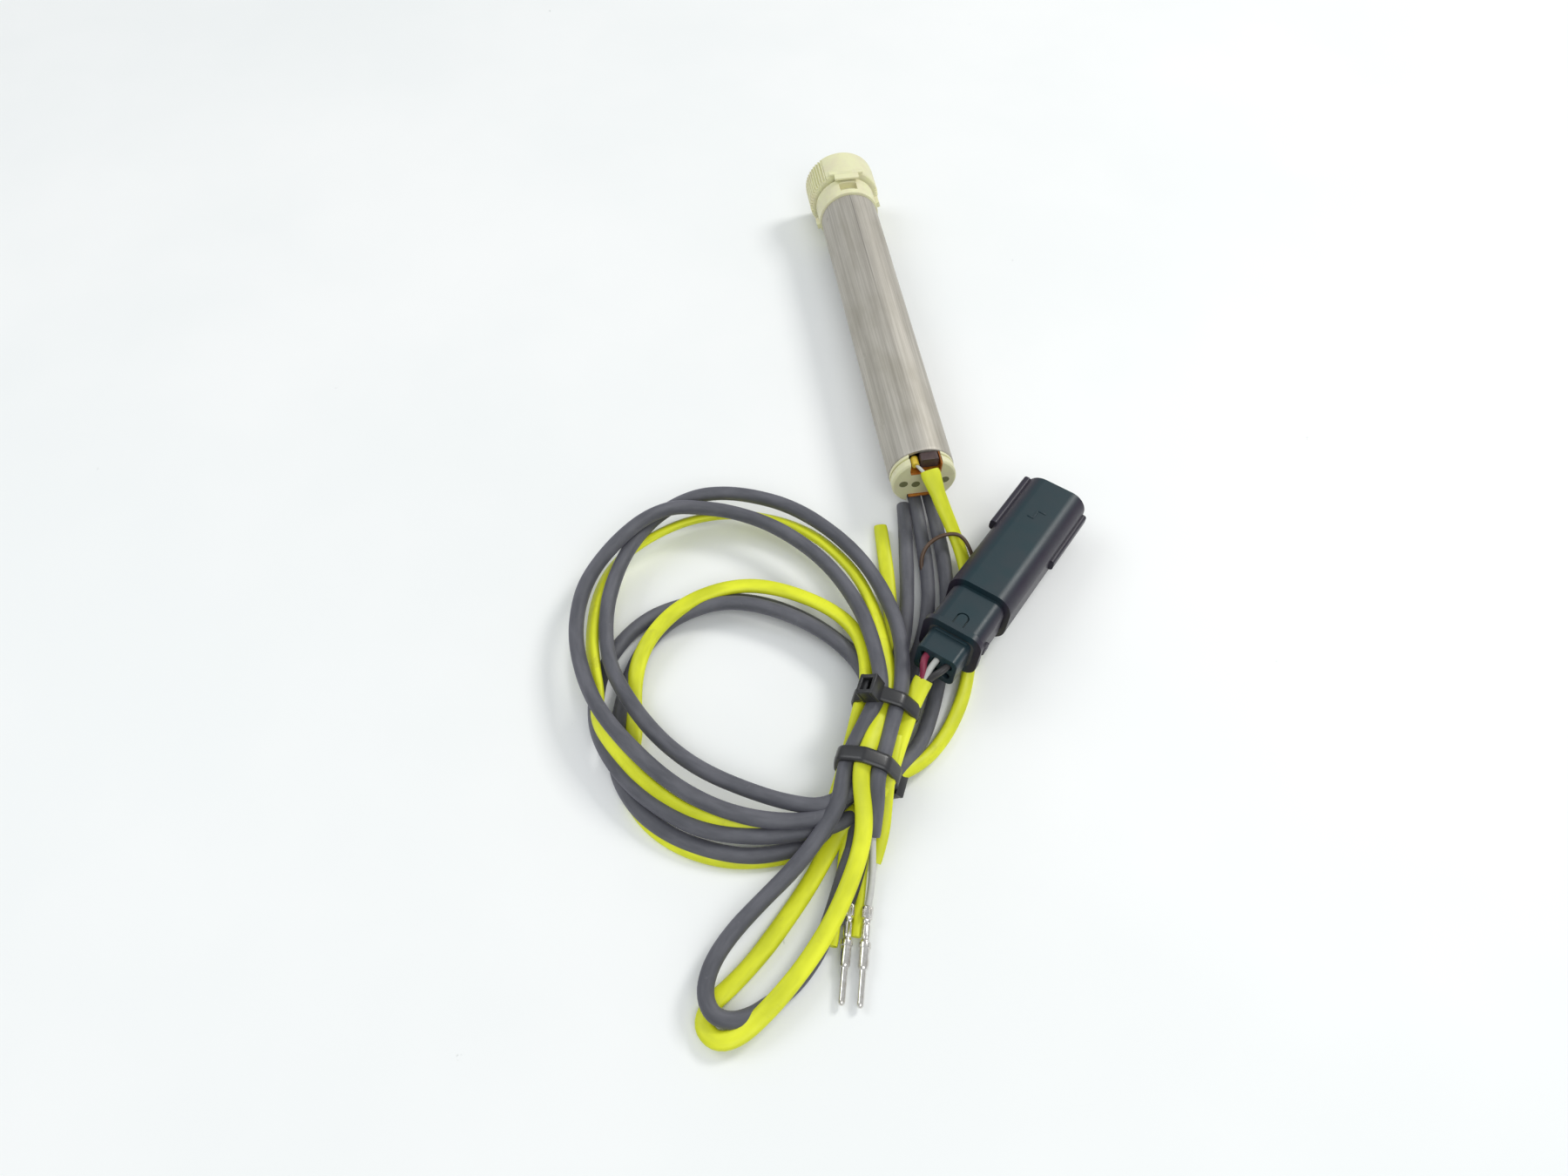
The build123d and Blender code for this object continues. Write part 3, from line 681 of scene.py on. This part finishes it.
lead_b_points = [
    (2.2, -62, 4.6), (2.2, -69, 4.5), (2.4, -78, 2.9), (2, -90, 2.1), (0.2, -101, 2.1), (-3, -113, 2.1),
    (-7.4, -125, 2.2), (-12, -135.5, 2.4), (-17, -144.5, 3.4), (-22.6, -149.5, 4.8),
    grip(LOWER_TIE + 1, *LOWER_PLACE["b_feed"]),
    (-34.5, -160.5, 4.6), (-43, -163.5, 5.2), (-51, -164.2, 5.6), (-62, -163.5, 5.6), (-74, -160, 5.4),
    (-83, -153.5, 5.4), (-90, -146, 5.8), (-95.5, -136.5, 6.2), (-98, -126, 5), (-96, -113, 3.6),
    (-90.5, -103.5, 2.6), (-83, -96.5, 2.2), (-74, -93.4, 2.2), (-65, -92.6, 2.1), (-56, -93.8, 2),
    (-47, -97.4, 2), (-38.5, -103.6, 2.2), (-31.8, -111.5, 2.8), (-26.4, -120, 4),
    *through("b_inner"),
    (-43, -162, 8.4), (-51, -162.3, 8), (-62, -160, 8.4), (-73, -154.5, 9.2), (-82, -147, 10.4),
    (-91, -135.5, 11.2), (-97, -124.5, 10.6), (-100, -113, 9.4), (-101, -102, 9), (-99, -91, 9.2),
    (-95, -83, 9.8), (-88, -75.5, 11), (-80, -69.5, 12), (-72, -66, 11.2), (-64.5, -66, 9.6),
    (-55, -68.3, 8.8), (-44, -75, 8.8), (-34, -86, 8.8), (-28, -98, 9.4), (-24.6, -112, 10.8),
    *through("b_wide"),
    (-41, -160, 10.4), (-47, -166.5, 7.6), (-54, -172.8, 6), (-62.5, -179, 5.6), (-70, -185, 5.6),
    (-75.4, -191, 5.6), (-78, -197, 5.2), (-77, -202, 4.6), (-73, -204, 4), (-68.5, -203.4, 3),
    (-64.5, -201.5, 2.2), (-60, -199.4, 2.1), (-55.5, -196, 2.1), (-51, -191, 2.1), (-47, -184.5, 2.1),
    (-43, -176.5, 2.2), (-38.8, -167.5, 3),
    *through("b_back")[::-1],
    (-19.2, -124, 7.6), (-15.8, -116, 5.2), (-12.6, -107, 3.2), (-10, -96, 2.3), (-8, -85, 2.2),
    (-6.4, -76, 2.8), (-5.6, -69.4, 3.6),
]
signal_points = [
    (0.7, -69.2, 17.7), (1.1, -71.6, 16.8), (3, -77.3, 12.2), (5.6, -83.6, 7), (7.2, -90, 3), (7, -98, 1.8),
    (5.4, -108, 1.8), (2.4, -119, 1.8), (-1.6, -130, 1.8), (-7.4, -139.5, 1.8), (-14.5, -147.2, 2.2),
    (-22, -151.8, 4),
    grip(LOWER_TIE + 1, *LOWER_PLACE["signal_feed"]),
    (-35.5, -162, 3.4), (-45, -165.8, 1.5), (-57, -168.2, 1.3), (-69, -167, 1.3), (-80, -161.6, 1.3),
    (-87.5, -154, 1.3), (-91, -145.5, 1.4), (-90, -137, 1.5), (-88, -128, 1.8), (-87.5, -117.5, 3),
    (-85, -109, 4.8), (-79.5, -101.5, 6), (-71, -95, 6.3), (-61, -92, 6.3), (-52, -92.3, 6.3),
    (-43, -96, 6.5), (-34, -102.5, 7), (-28.5, -110, 8), (-26.6, -118.5, 9.4),
    *through("signal_inner"),
    (-43, -161, 5.8), (-51, -163, 5.6), (-59, -162, 5.5), (-68, -160, 5.8), (-79, -154, 6.4),
    (-87, -146, 7.8), (-93, -137, 8.6), (-97, -128, 8), (-96.3, -120, 7), (-97, -112, 6.4),
    (-97, -101, 6), (-94.5, -88, 5.8), (-88.5, -78, 5.8), (-79, -71.5, 5.6), (-68, -67, 5.5),
    (-55, -66.3, 5.5), (-42, -71, 5.5), (-33.5, -77.5, 5.7), (-28, -85, 6), (-24, -93.5, 6.6),
    (-22, -103, 7.6), (-21.6, -114, 9.4),
    *through("signal_wide"),
    (-35.6, -164.4, 9.2), (-37.6, -170.6, 7.4), (-41.2, -177.4, 6.4), (-46.6, -185.6, 5.8),
    (-52.8, -192.8, 5.6), (-59.4, -199, 5.4), (-65.4, -203.6, 4.6), (-71.4, -207.2, 3),
    (-76.6, -207.6, 2.4), (-79.4, -203.4, 2),
    (-76.8, -199, 1.8), (-72, -196, 1.6), (-65, -190.5, 1.6), (-57.5, -183, 1.6), (-51, -176, 1.8),
    (-45, -168.5, 2.6), (-40, -162, 4),
    *through("signal_back")[:0:-1],
    (-17, -134.8, 11.6), (-14.5, -131.9, 13.8),
]
cords = {}
cords["lead_a"] = sleeve("lead_a", lead_a_points, 4.0, 3.9, "dark_sleeve", 11, open_end=0.62)
cords["lead_b"] = sleeve("lead_b", lead_b_points, 4.0, 3.9, "dark_sleeve", 23, open_end=0.62)
cords["signal_lead"] = sleeve(
    "signal_lead", signal_points, 4.4, 2.5, "yellow_sleeve", 37, squareness=2.4, open_end=0.7,
    swell=[
        (0, 1.3, 1.0), (1.5, 1.36, 0.9), (7, 1.0, 1.0), (45, 0.85, 1.0), (105, 0.8, 1.0), (180, 1.0, 1.0),
        (775, 1.0, 1.0), (788, 1.2, 1.1),
    ],
    roll=[
        (0, -10), (0.03, 15), (0.06, 30), (0.12, 25), (0.3, 5), (0.45, 35), (0.5, 50), (0.7, 40), (0.77, 12),
        (0.79, 0), (0.9, 0), (1, 10),
    ],
)
cords["spare_sleeve"] = sleeve(
    "spare_sleeve",
    [(-13.2, -74.5, 1.5), (-14.1, -86, 1.4), (-15.4, -98, 1.5), (-17.2, -109, 2.4), (-19, -119, 5.4),
     *through("spare"), (-40.5, -167, 3.4), (-43.8, -178.5, 1.4), (-47.8, -190.5, 1.2)],
    4.0, 2.2, "yellow_sleeve", 41, squareness=2.4, open_end=0.7,
    swell=[(60, 1, 1), (95, 0.8, 0.9), (118, 0.6, 0.9)],
)
cords["dark_end_long"] = sleeve(
    "dark_end_long",
    [grip(12, -2.2, 0.6), grip(20, -2.6, -1.6), grip(LOWER_TIE, *LOWER_PLACE["long_end"]),
     (-37.6, -164.2, 4), (-40.8, -172.6, 2.6), (-43.6, -179.2, 2.2), (-46.2, -185.6, 2.1)],
    3.8, 3.4, "dark_sleeve", 43, open_end=0.62,
)
cords["yellow_end_middle"] = sleeve(
    "yellow_end_middle",
    [grip(20, 2.2, 1.2), grip(LOWER_TIE + 1, 1.6, 1.6), (-35.6, -167, 3.4), (-38.6, -178, 1.4),
     (-42.1, -189.2, 1.1)],
    2.3, 1.7, "yellow_sleeve", 47, squareness=2.4,
)
cords["yellow_end_right"] = sleeve(
    "yellow_end_right",
    [grip(18, 5.0, 3.0), grip(LOWER_TIE + 1, 5.6, 3.2), (-29.4, -160.5, 7.4), (-31.2, -167, 3.2),
     (-34.3, -172.5, 1.2)],
    3.0, 1.7, "yellow_sleeve", 53, squareness=2.4,
)
cords["white_contact_wire"] = sleeve(
    "white_contact_wire",
    [grip(26, 3.2, 3.6), (-31.6, -160, 9.8), (-34.2, -167.5, 5.6), (-35, -172.5, 4.2), (-36.2, -178, 3.1),
     (-38.4, -184, 2.4)],
    1.7, 1.7, "white_insulation", 59, sides=12,
)
cords["black_contact_wire"] = sleeve(
    "black_contact_wire",
    [grip(24, 0.2, 1.0), (-34, -160.5, 6), (-35.6, -168, 4.6), (-38.2, -175.5, 3.4), (-42.4, -182.8, 2.4)],
    1.7, 1.7, "black_insulation", 61, sides=12,
)
cords["jumper_wire"] = sleeve(
    "jumper_wire",
    [(-6.8, -107, 2.2), (-5.2, -102, 2.0), (-4.6, -98, 1.6), (-4.9, -93.6, 1.8), (-5.1, -89.8, 4.4),
     (-2.8, -86.6, 7.2), (2.4, -84.6, 8.2), (7.4, -85.6, 8.4), (9.6, -91.4, 5), (11, -96, 1.2)],
    1.1, 1.1, "brown_insulation", 67, sides=10, step=0.6,
)
cords["red_wire"] = sleeve(
    "red_wire",
    [(0.7, -112.5, 15.2), (-3.4, -116.9, 15.8), (-7.6, -121.4, 16.4), (-11.4, -125.4, 17),
     (-13.9, -127.8, 17.1), (-14.5, -129.8, 16.2), (-14.5, -131.3, 14.6), (-15.9, -133.4, 12.5),
     (-18, -136.6, 11)],
    1.9, 1.9, "red_insulation", 71, sides=12, step=0.6,
)
cords["white_wire"] = sleeve(
    "white_wire",
    [(2.9, -114.9, 15.2), (-1.2, -119.3, 15.8), (-5.3, -123.6, 16.4), (-9.4, -127.4, 17), (-11.8, -129.6, 17),
     (-13.2, -130.8, 16), (-14.2, -131.9, 14.4), (-15.8, -133.8, 12.3), (-18, -137, 10.9)],
    1.7, 1.7, "white_insulation", 73, sides=12, step=0.6,
)
cords["black_wire"] = sleeve(
    "black_wire",
    [(5.1, -117.2, 15.2), (1, -121.6, 15.8), (-3, -125.8, 16.4), (-7, -129.6, 17), (-9.8, -131.8, 17),
     (-11.8, -132.2, 15.8), (-13.6, -132.5, 14.1), (-15.6, -134.2, 12.1), (-18, -137.2, 10.8)],
    1.9, 1.9, "black_insulation", 79, sides=12, step=0.6,
)

# ---------------------------------------------------------------- cable ties


STRAP_POINTS = 240
STRAP_WIDTH, STRAP_THICK = 4.0, 1.15
# The strap's section: a share of its width, and a share of its thickness outwards
STRAP_SECTION = (
    (-0.5, 0.0), (-0.5, 0.7), (-0.42, 0.95), (-0.25, 1.0), (0.25, 1.0), (0.42, 0.95), (0.5, 0.7), (0.5, 0.0),
)


def strap(name, ahead, places, head_angle, tail, tall):
    """A tie drawn tight across the leads. Its inner line is the hull of their round sections: in each
    direction it reaches as far as the furthest lead does, and turns with the slope of that reach. Its head
    stands tall millimetres proud at head_angle degrees, with tail more where the strap's end comes out."""
    angle = np.linspace(0, FULL_TURN, STRAP_POINTS, endpoint=False)
    normal = np.column_stack([np.cos(angle), np.sin(angle)])
    reach = np.max([normal @ np.array(p[:2]) + p[2] for p in places], axis=0)
    for _ in range(3):
        reach = (np.roll(reach, 1) + reach + np.roll(reach, -1)) / 3
    slope = (np.roll(reach, -1) - np.roll(reach, 1)) / (2 * (angle[1] - angle[0]))
    tangent = np.column_stack([-np.sin(angle), np.cos(angle)])
    inner = reach[:, None] * normal + slope[:, None] * tangent
    along, depth = np.transpose(STRAP_SECTION)
    flat = inner[:, None, :] + normal[:, None, :] * (depth * STRAP_THICK)[None, :, None]
    vertices = (
        TIE_START + TIE_AHEAD * (ahead + along * STRAP_WIDTH)[None, :, None]
        + TIE_RIGHT * flat[:, :, :1] + UPWARDS * flat[:, :, 1:]
    ).reshape(-1, 3)
    around = len(along)
    last = len(vertices) - around
    faces = grid_faces(STRAP_POINTS, around)
    faces += [(last + step, step, (step + 1) % around, last + (step + 1) % around) for step in range(around)]
    pieces = [piece(name + "_band", vertices, faces, "black_nylon", HARNESS, 40.0)]
    at = round(head_angle / 360 * STRAP_POINTS)
    out = TIE_RIGHT * normal[at][0] + UPWARDS * normal[at][1]
    run = TIE_RIGHT * tangent[at][0] + UPWARDS * tangent[at][1]
    root = np.array(grip(ahead, *inner[at]))
    axes = (tuple(run), tuple(TIE_AHEAD), tuple(out))
    middle, side_wall, end_wall = tall / 2, (STRAP_WIDTH + 0.4) / 2, STRAP_WIDTH + 1.7
    # The head is a frame of four walls round the locking tongue
    for shift, size in (
        ((-1.9, 0, middle), (1.0, end_wall, tall)), ((1.9, 0, middle), (1.0, end_wall, tall)),
        ((0, -side_wall, middle), (4.2, 1.1, tall)), ((0, side_wall, middle), (4.2, 1.1, tall)),
        ((0.9, 0, middle - 0.3), (1.5, STRAP_WIDTH - 0.8, tall - 1.3)),
    ):
        centre = root + run * shift[0] + TIE_AHEAD * shift[1] + out * shift[2]
        pieces.append(block(name + "_head", centre, size, axes, "black_nylon", round_off=0.25))
    if tail:
        centre = root + out * ((tall + tail) / 2) - run * 0.4
        size = (1.1, STRAP_WIDTH - 0.8, tall + tail)
        pieces.append(block(name + "_tail", centre, size, axes, "black_nylon", round_off=0.2))
    return pieces


def held(places):
    """Each held lead's place with its radius: the flat yellow sleeves are thinner than the dark ones."""
    return [(*place, 1.6 if "signal" in lead or lead == "spare" else 2.0) for lead, place in places.items()]


upper_pieces = strap("tie_upper", UPPER_TIE, held(UPPER_PLACE), 122, 0.0, 4.5)
lower_pieces = strap("tie_lower", LOWER_TIE, held(LOWER_PLACE), 318, 0.5, 2.6)
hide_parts("cable_tie_upper")
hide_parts("cable_tie_lower")

# ---------------------------------------------------------------- crimped contacts


# A contact's sections: millimetres along it, half width, half height, and how deep its seam is folded
CONTACT_SECTIONS = (
    (-0.2, 1.15, 1.05, 0.0), (0.0, 1.3, 1.2, 0.0), (1.2, 1.38, 1.3, 0.12), (2.6, 1.32, 1.25, 0.1),
    (2.9, 1.0, 0.7, 0.0), (3.5, 0.86, 0.5, 0.0), (3.9, 0.9, 0.62, 0.25), (4.2, 1.0, 0.95, 0.3),
    (6.8, 1.02, 0.95, 0.3), (7.1, 0.9, 0.7, 0.2), (7.5, 0.85, 0.62, 0.0), (8.0, 1.1, 1.0, 0.0),
    (8.2, 1.42, 1.36, 0.0), (8.7, 1.45, 1.42, 0.0), (9.3, 1.42, 1.4, 0.0), (9.5, 1.22, 1.22, 0.0),
    (13.6, 1.22, 1.22, 0.0), (14.0, 1.12, 1.12, 0.0), (14.35, 0.82, 0.82, 0.0), (14.8, 0.8, 0.8, 0.0),
    (21.6, 0.8, 0.8, 0.0), (22.1, 0.72, 0.72, 0.0), (22.45, 0.5, 0.5, 0.0), (22.6, 0.25, 0.25, 0.0),
)


def contact(name, node, start, end):
    """A crimped contact: open wings on the insulation, a folded crimp on the wire, a collar and a pin."""
    start, end = np.array(start, float), np.array(end, float)
    ahead = (end - start) / np.linalg.norm(end - start)
    side = np.cross(ahead, (0, 0, 1.0))
    side /= np.linalg.norm(side)
    up = np.cross(side, ahead)
    angle = np.linspace(0, FULL_TURN, 28, endpoint=False)
    seam = np.exp(-((angle - math.pi / 2) / 0.28) ** 2)
    rings = [
        start + ahead * along
        + np.outer(np.cos(angle) * wide, side) + np.outer(np.sin(angle) * tall * (1 - fold * seam), up)
        for along, wide, tall, fold in CONTACT_SECTIONS
    ]
    body = lofted(name, rings, "tinned_brass", HARNESS, 30.0)
    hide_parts(node)
    axes = (tuple(side), tuple(ahead), tuple(up))
    wings = [
        block(name + "_wing", start + ahead * 1.4 + side * across + up * 1.25, (0.5, 2.3, 0.75), axes,
              "tinned_brass", round_off=0.12)
        for across in (-0.62, 0.62)
    ]
    return [body, *wings]


left_contact = contact("contact_left", "contact_pin_left", (-42.2, -182, 2.4), (-48.2, -203.8, 1.6))
right_contact = contact("contact_right", "contact_pin_right", (-38.2, -183.2, 2.4), (-44.2, -205, 1.6))

# ---------------------------------------------------------------- barrel


def ring_at(y, radius, angle):
    """Points round the barrel's axis at y; radius may vary with the angle."""
    y = np.full(len(angle), y)
    return np.column_stack([radius * np.cos(angle), y, AXIS_HEIGHT + radius * np.sin(angle)])


# Three punched stakes: each a dent 1 mm in radius with a faint raised lip just outside it
STAKES = (-48.9, -21.0, 43.2)
STAKE_ANGLE = math.radians(153)
STAKE_DEPTH, STAKE_LIP = 0.34, 0.05
round_tube = np.linspace(0, FULL_TURN, 180, endpoint=False)
tube_profile = [
    (-64.4, 8.65), (-64.4, 9.3), (-64.25, 9.45), (-64.0, TUBE_RADIUS),
    *((y, TUBE_RADIUS) for y in np.arange(-63.2, 47.5, 0.8)),
    (47.7, TUBE_RADIUS), (47.95, 9.45), (48.1, 9.3), (48.1, 8.65),
]
tube_rings = []
for y, radius in tube_profile:
    reach = np.full(len(round_tube), radius)
    if radius == TUBE_RADIUS:
        for stake in STAKES:
            offset = np.hypot(y - stake, TUBE_RADIUS * (round_tube - STAKE_ANGLE))
            dent = STAKE_DEPTH * np.clip(1 - offset ** 2, 0, None)
            reach = reach - dent + STAKE_LIP * np.exp(-((offset - 1.2) / 0.25) ** 2)
    tube_rings.append(ring_at(y, reach, round_tube))
tube = lofted("steel_barrel", tube_rings, "steel_tube", HARNESS, 40.0)
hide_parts("barrel_tube")

# ---------------------------------------------------------------- splined head

# Radius of the head's edge: rounded teeth, except over a plain sector on top
TEETH, TOOTHED_SECTOR, FIRST_TOOTH = 46, 255, math.radians(127)
ROOT_RADIUS, TOOTH_HEIGHT, PLAIN_RADIUS, RIM_RADIUS = 11.12, 0.66, 11.72, 11.3
round_head = np.linspace(0, FULL_TURN, 1104, endpoint=False)
plain = (round_head > math.radians(20)) & (round_head < math.radians(125))
tooth = np.clip(0.5 + 1.25 * np.cos(TEETH * 360 / TOOTHED_SECTOR * (round_head - FIRST_TOOTH)), 0, 1)
edge_radius = np.where(plain, PLAIN_RADIUS, ROOT_RADIUS + TOOTH_HEIGHT * tooth)
# Each ring: its place on the axis, how far it steps in, and how much of the toothed edge it has
head_rings = [
    ring_at(y, RIM_RADIUS * (1 - toothed) + edge_radius * toothed - inset, round_head)
    for y, inset, toothed in (
        (57.1, 2.9, 0.0), (57.1, 0.5, 0.0), (57.25, 0.18, 0.7), (57.6, 0.0, 1.0), (62.0, 0.0, 1.0),
        (67.2, 0.0, 1.0), (67.8, 0.1, 1.0), (68.15, 0.35, 0.6), (68.4, 0.7, 0.0), (68.4, 3.8, 0.0),
        (66.9, 3.9, 0.0),
    )
]
head = lofted("splined_head", head_rings, "cream_plastic", ROTOR, 28.0)
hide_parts("rotor_head")
round_neck = np.linspace(0, FULL_TURN, 96, endpoint=False)
neck_profile = ((56.25, 2.6), (56.25, 8.3), (56.4, 8.4), (57.3, 8.4))
lofted("head_neck", [ring_at(y, r, round_neck) for y, r in neck_profile], "cream_plastic", ROTOR)
for name, centre, size in (
    ("head_key", (0, 56.2, AXIS_HEIGHT + 10.85), (8.2, 3.4, 0.86)),
    ("head_key_root", (0, 57.7, AXIS_HEIGHT + 10.95), (11.6, 1.6, 0.9)),
):
    block(name, centre, size, UPRIGHT, "cream_plastic", ROTOR, 0.14)

# ---------------------------------------------------------------- pieces kept from the frame, edges softened

refined("bearing_collar", HARNESS, 0.14)
refined("head_plug", ROTOR, 0.1)
refined("lead_cap", HARNESS, 0.12)
circle = np.linspace(0, FULL_TURN, 28, endpoint=False)
# A dark disc sunk in each of the cap's three holes: painted shade.
for across, up in ((-6, 0), (6, 0), (-2.4, -0.6)):
    rim = [
        ring_at(CAP_FACE + depth, radius, circle) + np.array([across, 0, up])
        for radius, depth in ((1.25, -0.02), (1.1, 0.02), (0.05, 0.03))
    ]
    hole = lofted("cap_hole_shade", rim, "cream_plastic")
    hole.data.materials[0] = FINISHES["hole_shade"]
refined("lead_grommet", HARNESS, 0.15)
refined("splice_tube", HARNESS, 0.2)
# The bared wire from the splice into the yellow sleeve's mouth, 1 mm thick
core_start, core_end = np.array([-2.7, -66.8, 18.1]), np.array([-0.5, -70.4, 17.5])
core_side = np.cross(core_end - core_start, UPWARDS)
core_side /= np.linalg.norm(core_side)
core_ring = 0.5 * (np.outer(np.cos(circle), core_side) + np.outer(np.sin(circle), UPWARDS))
core_rings = [at + core_ring for at in (core_start, (core_start + core_end) / 2, core_end)]
lofted("signal_core", core_rings, "white_insulation")
housing = refined("connector_housing", HARNESS, 0.3, 34.0)
cover = refined("rear_cover", HARNESS, 0.22, 34.0)
refined("terminal_lock", LOCK, 0.1)

# ---------------------------------------------------------------- plug housing details

PLUG_REAR = np.array([-11.3, -129.2, 15.3])
heading, dip = math.radians(43.0), math.radians(6.1)
PLUG_AHEAD = np.array([math.sin(heading) * math.cos(dip), math.cos(heading) * math.cos(dip), -math.sin(dip)])
PLUG_LEFT = np.array([-math.cos(heading), math.sin(heading), 0])
PLUG_UP = np.cross(PLUG_AHEAD, PLUG_LEFT)
PLUG_AXES = (tuple(PLUG_AHEAD), tuple(PLUG_LEFT), tuple(PLUG_UP))


def on_plug(ahead, left, up):
    """A point on the plug, from the middle of its rear end."""
    return tuple(PLUG_REAR + PLUG_AHEAD * ahead + PLUG_LEFT * left + PLUG_UP * up)


plug_pieces = [
    block(name, on_plug(*place), size, PLUG_AXES, "connector_black", round_off=edge)
    for name, place, size, edge in (
        ("shroud_mark_long", (54.4, 0.6, 8.02), (3.2, 0.5, 0.34), 0.1),
        ("shroud_mark_foot", (53.0, 1.4, 8.02), (0.5, 1.9, 0.34), 0.1),
        ("shroud_mark_top", (56.2, -0.6, 8.02), (0.5, 2.4, 0.34), 0.1),
        ("side_catch", (11.2, -7.9, 1.2), (3.0, 1.2, 2.2), 0.2),
        ("side_catch_left", (11.2, 7.9, 1.2), (3.0, 1.2, 2.2), 0.2),
        ("cover_rib", (6.9, 0, 4.75), (0.9, 9.0, 0.4), 0.12),
    )
]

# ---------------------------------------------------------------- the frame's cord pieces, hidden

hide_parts("lead_a_feed", "dark_end_short", "wide_turns")
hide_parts("lead_b_feed", "dark_tail", "tied_bundle")
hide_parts("signal_feed", "signal_rise", "inner_turns", "hank")
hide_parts("yellow_tail", "yellow_end_left")
for name in (
    "dark_end_long", "yellow_end_middle", "yellow_end_right", "white_contact_wire", "black_contact_wire",
    "jumper_wire", "red_wire", "white_wire", "black_wire",
):
    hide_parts(name)

# Each cord's line in metres is worked out here and not kept.
for name, (shape, line) in cords.items():
    tuple(line[0] * MM)
    [tuple(p * MM) for p in line]

# ---------------------------------------------------------------- table

floor_mesh = bpy.data.meshes.new("table_top")
floor_mesh.from_pydata([(-4, -4, 0), (4, -4, 0), (4, 4, 0), (-4, 4, 0)], [], [(0, 1, 2, 3)])
floor_mesh.materials.append(table_top())
floor = bpy.data.objects.new("table_top", floor_mesh)
floor.location.z = -0.0002
scene.collection.objects.link(floor)
